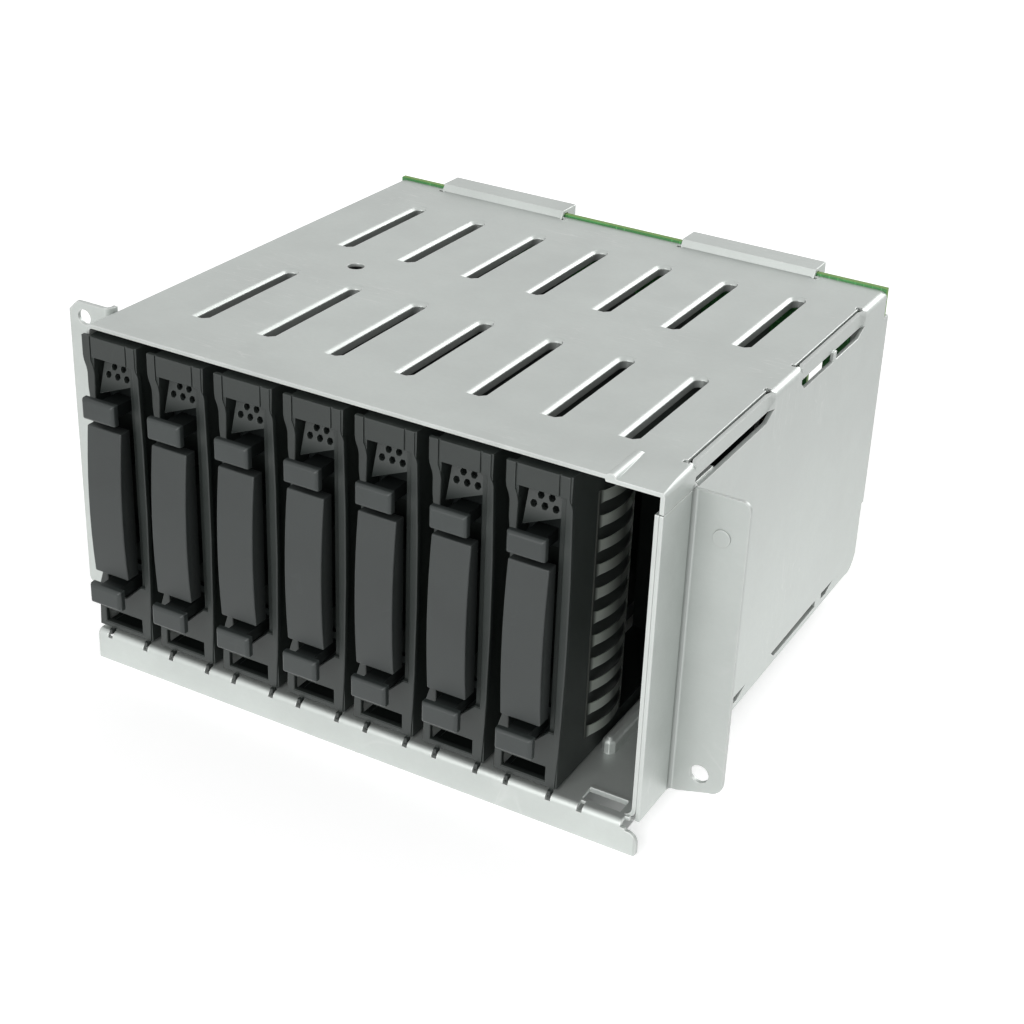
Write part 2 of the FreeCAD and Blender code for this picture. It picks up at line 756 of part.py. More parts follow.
def data_sockets():
    solids = []
    for left in data_places:
        outer = box(left, left + data_width, board_back, board_back + data_depth,
                    data_lift, data_lift + data_height)
        inner = box(left + data_wall, left + data_width - data_wall, board_back + data_wall,
                    board_back + data_depth + past, data_lift + data_wall,
                    data_lift + data_height - data_wall)
        middle = data_lift + data_height / 2
        tongue = box(left + data_tongue_side, left + data_width - data_tongue_side, board_back,
                     board_back + data_depth - data_tongue_set,
                     middle - data_wall / 2, middle + data_wall / 2)
        solids.append(join(outer.cut(inner), tongue))
    return Part.makeCompound(solids)


def power_socket():
    left = power_place
    body = box(left, left + power_width, board_back, board_back + power_depth,
               power_lift, power_lift + power_height)
    first = left + (power_width - (power_pins - 1) * pin_pitch) / 2
    cuts = []
    for side in (-1, 1):
        z = power_lift + power_height / 2 + side * power_row_pitch / 2
        for i in range(power_pins):
            x = first + i * pin_pitch
            cuts.append(box(x - pin_cell / 2, x + pin_cell / 2, board_back + power_floor,
                            board_back + power_depth + past, z - pin_cell / 2, z + pin_cell / 2))
    return body.cut(cuts)


def board_screws():
    solids = []
    for place in screw_places():
        shank = stud(screw_radius, screw_sides, place, board_back - screw_length, board_back)
        head = stud(screw_head_radius, 6, place, board_back, board_back + screw_head)
        solids.append(join(shank, head))
    return Part.makeCompound(solids)


# ---- filler blank, drawn at the datum of its bay ------------------------------
def eased(first, last):
    """Points of an edge that bends one way and back between two points."""
    across = last[0] - first[0]
    along = last[1] - first[1]
    return [first, (first[0] + across * bend_ease, first[1] + along * bend_reach),
            (last[0] - across * bend_ease, last[1] - along * bend_reach), last]


def bezel():
    """Front plate of a blank: head, bent left arm, bowed right rail and foot."""
    step_z = head_bottom - rail_step
    middle = (step_z + blank_bottom) / 2
    shape = ([(head_left, blank_top), (head_right, blank_top)]
             + eased((head_right, head_bottom), (head_right + rail_shoulder, step_z))
             + [("arc", (rail_right, middle), (foot_right, blank_bottom)),
                (foot_left, blank_bottom), (foot_left + foot_turn, lower_tab_bottom),
                (waist_left, lower_tab_top), (waist_left, upper_tab_bottom), (arm_outside, upper_tab_top)]
             + eased((arm_outside, head_bottom - arm_bend), (head_left, head_bottom)))
    plate = prism_xz(shape, -bezel_face, 0.0)
    trim = box(foot_left - past, blank_left, -bezel_back, past, blank_bottom - past, blank_top + past)
    trim_right = box(blank_right, rail_right + past, -bezel_back, past,
                     blank_bottom - past, blank_top + past)
    sill = blank_bottom + foot_plate
    window = prism_xz([(window_right, head_bottom), (window_right, sill + gusset),
                       (window_right - gusset, sill), (window_left, sill), (window_left, upper_tab_bottom),
                       (arm_inner, upper_tab_top)]
                      + eased((arm_inner, head_bottom - arm_bend), (arm_inside, head_bottom)),
                      -bezel_face - past, past)
    band = box(window_right - past, window_right + rail_band, -bezel_face - past, rail_sink - bezel_face,
               sill + gusset, head_bottom)
    cuts = [trim, trim_right, window, band]
    for x in seam_places:
        cuts.append(box(x, x + seam_width, -bezel_face - past, -bezel_face + seam_depth,
                        head_bottom - past, blank_top + past))
    return plate.cut(cuts)


def vent_panel():
    """Leaning panel under the head, with a slanted foot and two rows of hexagonal holes."""
    low = head_bottom - vent_drop
    panel = prism_yz([(vent_depth, head_bottom), (vent_depth - vent_rake, low),
                      (vent_depth - vent_rake + vent_skin, low),
                      (vent_depth + vent_skin, head_bottom)], vent_left, window_right)
    roof = box(window_left, window_right, -bezel_back, vent_depth + vent_skin,
               head_bottom, head_bottom + blank_wall)
    centre = (vent_left + window_right) / 2
    cuts = [prism_xz([(vent_left, low), (window_right, low + vent_rise), (window_right + past, low - past),
                      (vent_left - past, low - past)], vent_depth - vent_rake - past,
                     vent_depth + vent_skin + past)]
    first_row = head_bottom - vent_row
    for row, count in enumerate(vent_rows):
        z = first_row - row * vent_row
        for i in range(count):
            x = centre + (i - (count - 1) / 2) * vent_pitch
            cuts.append(stud(vent_size, 6, (x, z), vent_depth - vent_rake - past,
                             vent_depth + vent_skin + past))
    return join(panel.cut(cuts), roof)


def lead_in(level, outward):
    """Wedge that chamfers the blank's rear end, at its top or its underside."""
    rear = blank_length
    inner = level - outward * rear_lead
    outer = level + outward * past
    return prism_yz([(rear - rear_lead, level), (rear, inner), (rear + past, inner),
                     (rear + past, outer), (rear - rear_lead, outer)],
                    blank_left - past, blank_right + past)


def blank_body():
    left = blank_left
    right = blank_right
    low = blank_bottom
    high = blank_top
    wall = blank_wall
    rear = blank_length
    start = -bezel_face + seam_depth
    parts = [box(left, left + wall, start, box_depth, low, high),
             box(right - wall, right, start, box_depth, low, high),
             box(left, right, start, box_depth, high - wall, high),
             box(left, right, start, box_depth, low, low + wall),
             box(left, right, web_face, web_face + web_thick, low, high),
             vent_panel(),
             box(left, right, box_depth - wall, rear, high - rail_height, high),
             box(left, right, box_depth - wall, rear, low, low + rail_height),
             box(left, right, mid_bar, mid_bar + upright, low, high),
             box(left, right, rear - upright, rear, low, high)]
    for place in notch_places:
        front = -bezel_face - nib_reach
        parts.append(box(place - nib_width / 2, place + nib_width / 2, front, front + nib_depth,
                         low - nib_drop, low))
    hand_hole = box(hand_hole_left, hand_hole_right, -bezel_face - past, hand_hole_depth,
                    low + hand_hole_low, low + hand_hole_high)
    body = join(bezel(), *parts)
    return body.cut([lead_in(high, 1), lead_in(low, -1), hand_hole])


def finger_tab(low, face, stem_low, plate_low, plate_high):
    """Latch: a finger tab in front, its stem, and the plate that slides behind the bezel."""
    left = tab_left
    right = left + tab_width
    high = low + tab_height
    front = -face
    middle = (left + right) / 2
    tab = box(left, right, front, front + tab_depth, low, high)
    front_edges = [e for e in tab.Edges if abs(e.CenterOfMass.y - front) < tiny]
    tab = tab.makeChamfer(tab_chamfer, front_edges)
    plate_back = web_face - slide_clear
    plate_front = plate_back - slide_plate
    stem = box(middle - stem_width / 2, middle + stem_width / 2, front + tab_depth, plate_back,
               stem_low, stem_low + stem_height)
    plate = box(window_left + slide_clear, window_right - slide_clear, plate_front, plate_back,
                plate_low, plate_high)
    return join(tab, stem, plate)


def upper_latch():
    low = upper_tab_bottom
    plate_low = low - slide_plate
    return finger_tab(low, upper_tab_face, low + stem_inset, plate_low, plate_low + slide_length)


def lower_latch():
    high = lower_tab_top + slide_plate
    stem_low = lower_tab_top - stem_inset - stem_height
    return finger_tab(lower_tab_bottom, lower_tab_face, stem_low, high - slide_length, high)


def blank_grip():
    """Bowed grip panel with skirts, on two posts that stand on the web."""
    left = grip_left
    right = left + grip_width
    middle = (grip_top + grip_bottom) / 2
    end = -grip_end
    crown = -grip_end - grip_lean / 2 - grip_bow
    back = end + grip_skirt
    cover = prism_yz([(back, grip_bottom), (end - grip_lean, grip_bottom),
                      ("arc", (crown, middle), (end, grip_top)), (back, grip_top)], left, right)
    core = box(left + grip_skin, right - grip_skin, end + grip_skin, back + past,
               grip_bottom + grip_skin, grip_top - grip_skin)
    centre = (left + right) / 2
    posts = []
    for low in (grip_bottom + post_inset, grip_top - post_inset - post_height):
        posts.append(box(centre - post_width / 2, centre + post_width / 2, end, web_face,
                         low, low + post_height))
    return join(cover.cut(core), *posts)


def finger_places():
    room = blank_top - finger_top - (blank_bottom + finger_low)
    count = int(room / finger_pitch + tiny) + 1
    return [blank_bottom + finger_low + i * finger_pitch for i in range(count)]


def spring_strip():
    """Folded strip on the blank's right side, slotted into a row of raised fingers."""
    face = blank_right
    back = face + strip_skin
    front = strip_front
    rear = front + strip_depth
    first = front + strip_band
    last = rear - strip_band
    top = face + finger_bulge
    crest = front + strip_depth / 2
    places = finger_places()
    profile = [(face, front), (face, first), (top - strip_skin, crest), (face, last), (face, rear),
               (back, rear), (back, last), (top, crest), (back, first), (back, front)]
    strip = prism_xy(profile, places[0] - finger_height / 2, places[-1] + finger_height / 2)
    gaps = []
    for low, high in zip(places, places[1:]):
        gaps.append(box(face - past, top + past, first, last,
                        low + finger_height / 2, high - finger_height / 2))
    return strip.cut(gaps)


# ---- the whole cage ------------------------------------------------------------
def build():
    nodes = {"cage_shell": cage_shell(),
             "floor_tray": floor_tray(),
             "left_ear": left_ear(),
             "right_ear": right_ear(),
             "backplane_board": backplane_board(),
             "drive_sockets": drive_sockets(),
             "data_sockets": data_sockets(),
             "power_socket": power_socket(),
             "board_screws": board_screws()}
    pieces = {"body": blank_body(),
              "grip": blank_grip(),
              "upper_latch": upper_latch(),
              "lower_latch": lower_latch(),
              "spring_strip": spring_strip()}
    for i in range(blank_count):
        for name, shape in pieces.items():
            copy = shape.copy()
            copy.translate(V(datums[i], 0, 0))
            nodes["blank_%d_%s" % (i + 1, name)] = copy
    return nodes


def to_base(nodes):
    """Move every piece so that the origin is the centre of the footprint."""
    whole = FreeCAD.BoundBox()
    for shape in nodes.values():
        whole.add(shape.optimalBoundingBox(False, False))
    shift = V(-whole.Center.x, -whole.Center.y, -whole.ZMin)
    for shape in nodes.values():
        shape.translate(shift)
    return shift, whole


def main():
    os.makedirs("parts", exist_ok=True)
    nodes = build()
    shift, whole = to_base(nodes)
    for name, shape in nodes.items():
        shape.exportStep("parts/%s.step" % name)
        print("%-24s solids %d  volume %10.2f  valid %s"
              % (name, len(shape.Solids), shape.Volume, shape.isValid()))
    print("shift", tuple(round(v, 4) for v in shift))
    print("size", round(whole.XLength, 3), round(whole.YLength, 3), round(whole.ZLength, 3))


main()
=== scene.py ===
import functools
import json
import math

import bpy
from bpy.props import FloatProperty, FloatVectorProperty, IntProperty, PointerProperty
from mathutils import Matrix, Vector, geometry


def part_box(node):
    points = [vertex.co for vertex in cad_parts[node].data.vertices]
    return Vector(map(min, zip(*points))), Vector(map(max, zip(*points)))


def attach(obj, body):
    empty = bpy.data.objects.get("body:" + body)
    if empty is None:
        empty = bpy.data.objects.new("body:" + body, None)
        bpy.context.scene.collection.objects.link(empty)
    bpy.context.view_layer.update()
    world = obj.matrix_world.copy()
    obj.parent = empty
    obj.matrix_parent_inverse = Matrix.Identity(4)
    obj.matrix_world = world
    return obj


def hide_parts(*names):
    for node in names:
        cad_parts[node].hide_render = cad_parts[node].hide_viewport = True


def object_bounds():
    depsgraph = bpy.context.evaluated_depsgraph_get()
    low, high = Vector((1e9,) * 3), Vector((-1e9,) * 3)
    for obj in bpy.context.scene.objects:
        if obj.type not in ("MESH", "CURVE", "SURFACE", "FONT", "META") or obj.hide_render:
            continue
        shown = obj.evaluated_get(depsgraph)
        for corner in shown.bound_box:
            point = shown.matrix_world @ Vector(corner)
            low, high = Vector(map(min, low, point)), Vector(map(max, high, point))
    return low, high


bl_info = {
    "name": "Hot swap drive cage",
    "version": (1, 0, 0),
    "blender": (4, 5, 0),
    "location": "View3D > Sidebar > Drive cage",
    "description": "Dresses the packed drive cage: sheet metal, filler blanks, backplane and studio",
    "category": "Object",
}

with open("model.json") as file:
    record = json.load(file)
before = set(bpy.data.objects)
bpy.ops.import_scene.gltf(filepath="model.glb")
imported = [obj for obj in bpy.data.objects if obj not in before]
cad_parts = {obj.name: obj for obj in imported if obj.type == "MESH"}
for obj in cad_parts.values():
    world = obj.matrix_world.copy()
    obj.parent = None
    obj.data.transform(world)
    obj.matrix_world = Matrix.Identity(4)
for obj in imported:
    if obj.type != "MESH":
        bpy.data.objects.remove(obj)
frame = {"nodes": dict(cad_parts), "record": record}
CAD_LOW, CAD_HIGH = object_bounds()
BODY_OF = {node: body for body, nodes in frame["record"]["behaviour"]["bodies"].items() for node in nodes}
BLANKS = sorted({int(node.split("_")[1]) for node in BODY_OF if node.startswith("blank_")})
BAYS = len(BLANKS) + 1  # the last bay is empty
MM = 0.001

# How edges are rounded
SHARP_ANGLE = 35.0  # two faces that meet at more than this have a sharp edge, in degrees
CLEAR_SHARE = 0.42  # most of an edge's length that one rounding takes
CLEAR_REACH = 1.1 * MM  # an edge this close to a place left sharp isn't rounded
FACING = 0.9  # a face looks along an axis when its normal has this much of it
SAME_PLANE = 0.02 * MM  # faces this close along an axis lie in one plane

# Places on the shell, in the frame
NOTCH_CORNER = ((71.65 * MM, -50.6 * MM, 82.1 * MM), (72.65 * MM, -50.6 * MM, 82.1 * MM))  # left sharp
STRIP_ENDS = (-52.1 * MM, -10.3 * MM, 5.7 * MM, 47.5 * MM)  # where the corner strips leave the wall

# The folded sheets, measured from the sides of their boxes
STRIP_END_REACH = 1.3 * MM  # edges this close to a strip's end stay sharp
STRIP_WALL = 2.2 * MM  # the strips lie this close to the right wall's outer side
FRONT_FOLD = 1.2 * MM  # depth of the top sheet's front edge
ROLL_FOOT = 4.5 * MM  # the slots' rolls end this far under the hooks' top
SLOT_FLARE = 2.75 * MM  # the painted shade on the slots' walls starts this far under it
SLOT_FOOT = 4.7 * MM  # and end this far under it
SLOTS_LEFT = 8 * MM  # the slots keep this far from the left wall
SLOTS_RIGHT = 18 * MM  # and this far from the right one
SLOTS_REAR = 6 * MM  # and this far ahead of the board
WALL_MARGIN = {"X": 6 * MM, "Y": 9 * MM}  # rim of the top sheet without slots
SLANTED = (0.5, 0.9)  # upward share of a roll's slanted faces
LEVEL = 0.95  # upward share of the flat sheet's faces
FLOOR_TOP = 7.9 * MM  # height of the tray's floor
BEAD_HEIGHTS = (1.5 * MM, 4.2 * MM)  # where the beads' crests lie over it
BEADS_LEFT = 14 * MM  # the beads keep this far from the left ear's tip
BEADS_RIGHT = 16 * MM  # and this far from the right one's
BEADS_REAR = 3 * MM  # and this far ahead of the board
EAR_BEND = (1.4 * MM, 1.7 * MM)  # inner corner of the right ear's bend, from its left and rear sides
EAR_BEND_REACH = 0.6 * MM
EAR_FLAT = 1.2 * MM  # where the ear's flat part starts, from its left side
EAR_SHADE = 0.34  # how much of the painted shade the flat part takes

# The blanks, measured from the sides of their nodes' boxes
VENTS_TOP = 5.2 * MM  # the vent holes start this far under the head's top
VENTS_TALL = 7.5 * MM  # and this is the height they take
VENT_FACE = 2.6 * MM * MM  # largest face of a vent hole's wall
GRIP_COVER = 3.4 * MM  # depth of the grip's rounded front
TAB_FRONT = 1.5 * MM  # depth of a finger tab's rounded front
TINY = 0.01 * MM  # points this close are one

# Small parts on the board's rear
CHIP_BAYS = (0, 3, 7)  # the bays they stand behind
CHIP_LEVEL = 76.5 * MM
CHIP_HEIGHTS = (0.1 * MM, 1.3 * MM)  # their two faces, over the board
CHIP_EDGE = 0.12 * MM
LEAD_COUNT = 12  # on each side of a chip
LEAD_PITCH = 0.65 * MM
LEAD_START = 0.7 * MM  # the first lead's two sides, from the chip's corner
LEAD_END = 1.0 * MM
LEAD_LONG = 0.8 * MM
LEAD_HIGH = 0.3 * MM
CAN_BAYS = (1, 2, 5, 6)
CAN_LEVEL = 17.5 * MM
CAN_TALL = 5.8 * MM
CAN_MIDDLE = 3.5 * MM  # over the board
CAN_RIM = 0.35 * MM
CAN_BASE = 1.06  # half width of a capacitor's base, in its radii
CERAMIC_ROWS = ((0, 14.0, 5), (0, 19.0, 4), (1, 78.0, 5), (2, 78.0, 5), (3, 66.5, 6), (4, 66.5, 6),
                (4, 78.0, 5), (5, 78.0, 5), (6, 78.0, 5), (7, 14.0, 5), (7, 19.0, 4), (3, 14.0, 6),
                (4, 14.0, 6))  # bay, height in millimetres, number of parts
CERAMIC_START = 4.6 * MM  # a row starts this far left of its bay's middle
CERAMIC_PITCH = 1.9 * MM
CERAMIC_EDGE = 0.06 * MM
JOINTS = 26  # solder joints in a row behind a drive socket
JOINT_RADIUS = 0.42 * MM
JOINT_TALL = 0.5 * MM
BLADE_ROWS = ((2.6 * MM, 12), (21.6 * MM, 14))  # start and number of a socket's contacts
DATA_CONTACTS = 18
DATA_PITCH = 0.84 * MM
DATA_SOCKET = 22.0 * MM  # width of one data socket
PIN_HALF = 0.45 * MM
PIN_COUNT = 5
PIN_PITCH = 4.0 * MM
PIN_ROWS = 4.4 * MM  # distance of the two rows of pins

# The studio
FLOOR_GAP = 0.2 * MM
KEY_LAMP = ((0.10, -1.32, 0.50), 1.2)  # place and size
RIM_LAMP = ((0.48, 1.14, 0.68), 0.7)
CAMERA_PLACE = (0.200818, -0.357897, 0.254885)
CAMERA_RIGHT = (0.89196675, 0.44741119, 0.06495034)
CAMERA_AHEAD = (-0.37689377, 0.81521848, -0.43973845)
CAMERA_LENS = 64.55
CAMERA_SHIFT = (-0.1242, -0.0731)
WHITE = (1.0, 1.0, 1.0, 1.0)
GLOW_RIM = 6 * MM  # the floor's glow reaches this far in under the tray
SEEN_GLOW = (0.50, 1.0)  # the floor's own light to the eye, close by and far away
SEEN_REACH = (0.28, 0.9)  # and where it starts and ends to grow, from the cage's middle
GLOSS_GLOW = (0.86, 0.33)  # the same in gloss, where it fades
GLOSS_REACH = (0.09, 0.26)


# ---- settings ----
def length(name, default, description):
    return FloatProperty(name=name, default=default, description=description, unit="LENGTH", precision=5)


def tint(name, default, description):
    return FloatVectorProperty(name=name, default=default, description=description, subtype="COLOR",
                               min=0, max=1)


class CageSheetSettings(bpy.types.PropertyGroup):
    soft_edge: length("Edge rounding", 0.16 * MM, "Rounding of the sheet's cut edges")
    front_edge: length("Front rounding", 0.36 * MM, "Rounding of the top sheet's front edge")
    slot_roll: length("Slot rolling", 0.52 * MM, "Rounding of the top sheet where it rolls down into a slot")
    bead_edge: length("Bead rounding", 0.75 * MM, "Rounding of the pressed beads on the floor")
    colour: tint("Plating", (0.515, 0.545, 0.525), "Colour of the zinc plating")
    cut_colour: tint("Cut edge", (0.72, 0.72, 0.71), "Colour of bare metal along worn edges")


class CageBlankSettings(bpy.types.PropertyGroup):
    front_edge: length("Front rounding", 0.34 * MM, "Rounding of the moulding's front edges")
    inner_edge: length("Inner rounding", 0.1 * MM, "Rounding of the moulding's other edges")
    vent_edge: length("Vent rounding", 0.26 * MM, "Rounding of the corners of the vent holes")
    nib_reach: length("Nib reach", 1.0 * MM, "How far the nibs under the foot stand ahead of the front face")
    tab_edge: length("Tab rounding", 0.3 * MM, "Rounding of the finger tabs")
    grip_edge: length("Grip rounding", 0.38 * MM, "Rounding of the grips' long edges")
    body_colour: tint("Moulding", (0.018, 0.0225, 0.0205), "Colour of the moulded body")
    grip_colour: tint("Grip", (0.024, 0.0285, 0.0275), "Colour of the grip")
    tab_colour: tint("Tabs", (0.025, 0.0305, 0.0295), "Colour of the finger tabs")


class CageSpringSettings(bpy.types.PropertyGroup):
    fingers: IntProperty(name="Fingers", default=11, min=1, description="Number of spring fingers on a strip")
    pitch: length("Pitch", 5.9 * MM, "Spacing of the fingers")
    band: length("Band", 0.45 * MM, "Width of the bands in front of and behind the fingers")
    waist: FloatProperty(name="Waist", default=0.8, min=0.1, max=1,
                         description="Width of a finger at its crest, as a share of its width at its ends")
    skin: length("Thickness", 0.25 * MM, "Thickness of the strip")


class CageBoardSettings(bpy.types.PropertyGroup):
    mask_colour: tint("Solder mask", (0.06, 0.24, 0.07), "Colour of the board's faces")
    core_colour: tint("Board edge", (0.15, 0.31, 0.07), "Colour of the board's cut edges")
    contact_pitch: length("Contact pitch", 1.27 * MM, "Spacing of the drive sockets' contacts and joints")
    can_radius: length("Capacitor radius", 3.1 * MM, "Radius of the round capacitors on the rear")
    chip_size: length("Chip size", 9.0 * MM, "Width of the square chips on the rear")


class CageStageSettings(bpy.types.PropertyGroup):
    floor_size: length("Floor", 6.0, "Width of the studio floor")
    floor_colour: tint("Floor colour", (0.86, 0.86, 0.86), "Colour of the studio floor")
    room_light: FloatProperty(name="Room light", default=0.40, min=0,
                              description="Brightness of the room all round")
    key_power: FloatProperty(name="Key light", unit="POWER", default=15.5,
                             description="Power of the large lamp in front on the left")
    rim_power: FloatProperty(name="Rim light", unit="POWER", default=8.0,
                             description="Power of the lamp behind on the right")


# ---- steps ----
OPERATORS = []


def operator(make):
    """Makes an operator from a function of the scene, with the function's name and docstring."""
    def execute(self, context):
        make(context.scene)
        return {"FINISHED"}

    name = make.__name__
    OPERATORS.append(type("CAGE_OT_" + name, (bpy.types.Operator,), {
        "__doc__": make.__doc__, "bl_idname": "cage." + name,
        "bl_label": name.replace("_", " ").capitalize(), "execute": execute}))
    return make


# ---- selecting and shaping ----
def deselect_all():
    if bpy.context.object and bpy.context.object.mode != "OBJECT":
        bpy.ops.object.mode_set(mode="OBJECT")
    bpy.ops.object.select_all(action="DESELECT")


def only(obj):
    deselect_all()
    obj.select_set(True)
    bpy.context.view_layer.objects.active = obj


def edit(obj):
    """Opens a piece for editing, all of it selected."""
    only(obj)
    bpy.ops.object.mode_set(mode="EDIT")
    bpy.ops.mesh.select_all(action="SELECT")


def done():
    bpy.ops.object.mode_set(mode="OBJECT")


def settle(piece, name):
    """Names a new piece and puts its place into its mesh."""
    only(piece)
    piece.name = name
    bpy.ops.object.transform_apply(location=True, rotation=True, scale=True)
    return piece


def add_block(name, corner, opposite, edge=0.0):
    """A block between two opposite corners, its edges bevelled."""
    low, high = (Vector([side(pair) for pair in zip(corner, opposite)]) for side in (min, max))
    deselect_all()
    bpy.ops.mesh.primitive_cube_add(size=1.0, location=(low + high) / 2)
    piece = bpy.context.object
    piece.scale = high - low
    settle(piece, name)
    if edge:
        edit(piece)
        bpy.ops.mesh.bevel(offset=edge, segments=2, affect="EDGES")
        done()
    return piece


def add_rod(name, centre, radius, depth, sides):
    """A short rod along Y."""
    deselect_all()
    bpy.ops.mesh.primitive_cylinder_add(vertices=sides, radius=radius, depth=depth, location=centre,
                                        rotation=(math.pi / 2, 0, 0))
    return settle(bpy.context.object, name)


def repeat(piece, count, step):
    """Repeats a piece in a row, all in one mesh."""
    only(piece)
    row = piece.modifiers.new("row", "ARRAY")
    row.count = count
    row.use_relative_offset = False
    row.use_constant_offset = True
    row.constant_offset_displace = step
    apply_all(piece)
    return piece


def copy_to(piece, name, step):
    """A copy with its own mesh, moved by a step that goes into the mesh."""
    only(piece)
    bpy.ops.object.duplicate(linked=False)
    made = bpy.context.object
    bpy.ops.transform.translate(value=step)
    return settle(made, name)


def join_all(pieces, name):
    """Joins pieces into the first one."""
    deselect_all()
    for piece in pieces:
        piece.select_set(True)
    bpy.context.view_layer.objects.active = pieces[0]
    bpy.ops.object.join()
    pieces[0].name = name
    return pieces[0]


def pick(piece, kind, test):
    """Opens a piece for editing, with the vertices, edges or faces selected that pass a test."""
    only(piece)
    bpy.ops.object.mode_set(mode="EDIT")
    bpy.ops.mesh.select_mode(type=kind)
    bpy.ops.mesh.select_all(action="DESELECT")
    done()
    items = {"VERT": piece.data.vertices, "EDGE": piece.data.edges, "FACE": piece.data.polygons}[kind]
    for item in items:
        item.select = bool(test(item))
    if not any(item.select for item in items):
        raise RuntimeError("nothing to select on " + piece.name)
    bpy.ops.object.mode_set(mode="EDIT")


def inset(piece, test, thickness, depth):
    """Insets the faces that pass a test, and raises or sinks them."""
    pick(piece, "FACE", test)
    bpy.ops.mesh.inset(thickness=thickness, depth=depth)
    done()


def cut_away(piece, test):
    """Deletes the vertices that pass a test."""
    pick(piece, "VERT", test)
    bpy.ops.mesh.delete(type="VERT")
    done()


def draw_out(piece, kind, test, step):
    """Extrudes what passes a test by a step."""
    pick(piece, kind, test)
    bpy.ops.mesh.extrude_region_move(TRANSFORM_OT_translate={"value": step})
    done()


def turn_outward(piece):
    edit(piece)
    bpy.ops.mesh.normals_make_consistent(inside=False)
    done()


def faces_rear(face):
    return face.normal.y > FACING


def apply_all(piece):
    only(piece)
    for modifier in list(piece.modifiers):
        bpy.ops.object.modifier_apply(modifier=modifier.name)


def smooth(piece, angle=50.0):
    only(piece)
    bpy.ops.object.shade_smooth_by_angle(angle=math.radians(angle))
    normals = piece.modifiers.new("normals", "WEIGHTED_NORMAL")
    normals.keep_sharp = True
    apply_all(piece)


def round_edges(piece, width, segments=2, share_at=None, left_sharp=()):
    """Rounds the sharp edges. Each takes its share of the width, and less where the form is small."""
    weigh_edges(piece, width, share_at or (lambda middle, faces: 1.0), left_sharp)
    only(piece)
    bevel = piece.modifiers.new("edges", "BEVEL")
    bevel.width = width
    bevel.segments = segments
    bevel.use_clamp_overlap = False
    bevel.limit_method = "WEIGHT"
    apply_all(piece)
    smooth(piece)


def weigh_edges(piece, width, share_at, left_sharp):
    """Gives each sharp edge a share of the bevel's width, held under the shortest edge that meets it.
    Edges that pass the places left sharp get none."""
    mesh = piece.data
    found = sharp_edges(mesh)
    shortest = {}
    for edge in mesh.edges:
        first, second = ends_of(mesh, edge)
        for end in edge.vertices:
            shortest[end] = min(shortest.get(end, 1.0), (first - second).length)
    layer = mesh.attributes.new("bevel_weight_edge", "FLOAT", "EDGE")
    for edge, middle, faces in found:
        room = CLEAR_SHARE * min(shortest[end] for end in edge.vertices)
        if not passes(mesh, edge, left_sharp):
            layer.data[edge.index].value = min(share_at(middle, faces), room / width)


def sharp_edges(mesh):
    """A mesh's sharp edges, each with its middle and its two faces."""
    faces_of = {}
    for face in mesh.polygons:
        for key in face.edge_keys:
            faces_of.setdefault(key, []).append(face)
    found = []
    for edge in mesh.edges:
        faces = faces_of.get(edge.key, [])
        if len(faces) == 2 and faces[0].normal.angle(faces[1].normal, 0.0) >= math.radians(SHARP_ANGLE):
            first, second = ends_of(mesh, edge)
            found.append((edge, (first + second) / 2, faces))
    return found


def ends_of(mesh, edge):
    return [mesh.vertices[end].co for end in edge.vertices]


def passes(mesh, edge, places):
    """True where an edge comes close to one of the places."""
    first, second = ends_of(mesh, edge)
    for place in places:
        near, share = geometry.intersect_point_line(place, first, second)
        near = first if share < 0.0 else second if share > 1.0 else near
        if (near - Vector(place)).length < CLEAR_REACH:
            return True
    return False


def hollow(faces):
    """True where two faces meet in an inner corner."""
    first, second = faces
    return (second.center - first.center).dot(first.normal) > 0.0


def merged_copy(node, name):
    """A copy of a packed part's mesh, with its triangles merged into faces."""
    piece = bpy.data.objects.new(name, frame["nodes"][node].data.copy())
    bpy.context.scene.collection.objects.link(piece)
    only(piece)
    bpy.ops.mesh.customdata_custom_splitnormals_clear()
    edit(piece)
    bpy.ops.mesh.remove_doubles(threshold=0.002 * MM)
    bpy.ops.mesh.dissolve_limited(angle_limit=math.radians(1.0))
    done()
    return piece


def dress(node, ending, finish, width, *rounding):
    """Makes the piece that stands for a packed part: its copy with rounded edges and a finish."""
    piece = merged_copy(node, "%s_%s" % (node, ending))
    round_edges(piece, width, *rounding)
    finish_piece(piece, finish, node)


def finish_group(pieces, name, finish, angle=50.0):
    """Joins small parts that only the scene has into one smooth piece."""
    piece = join_all(pieces, name)
    smooth(piece, angle)
    finish_piece(piece, finish)


def finish_piece(piece, finish, *nodes):
    """Gives a piece its finish and its body, and hides the packed parts it stands for.

    A finish has the name of its material slot in the record. Those that only the scene has belong to none.
    """
    piece.data.materials.clear()
    piece.data.materials.append(finish())
    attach(piece, BODY_OF[nodes[0]] if nodes else "root")
    if nodes:
        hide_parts(*nodes)
    deselect_all()


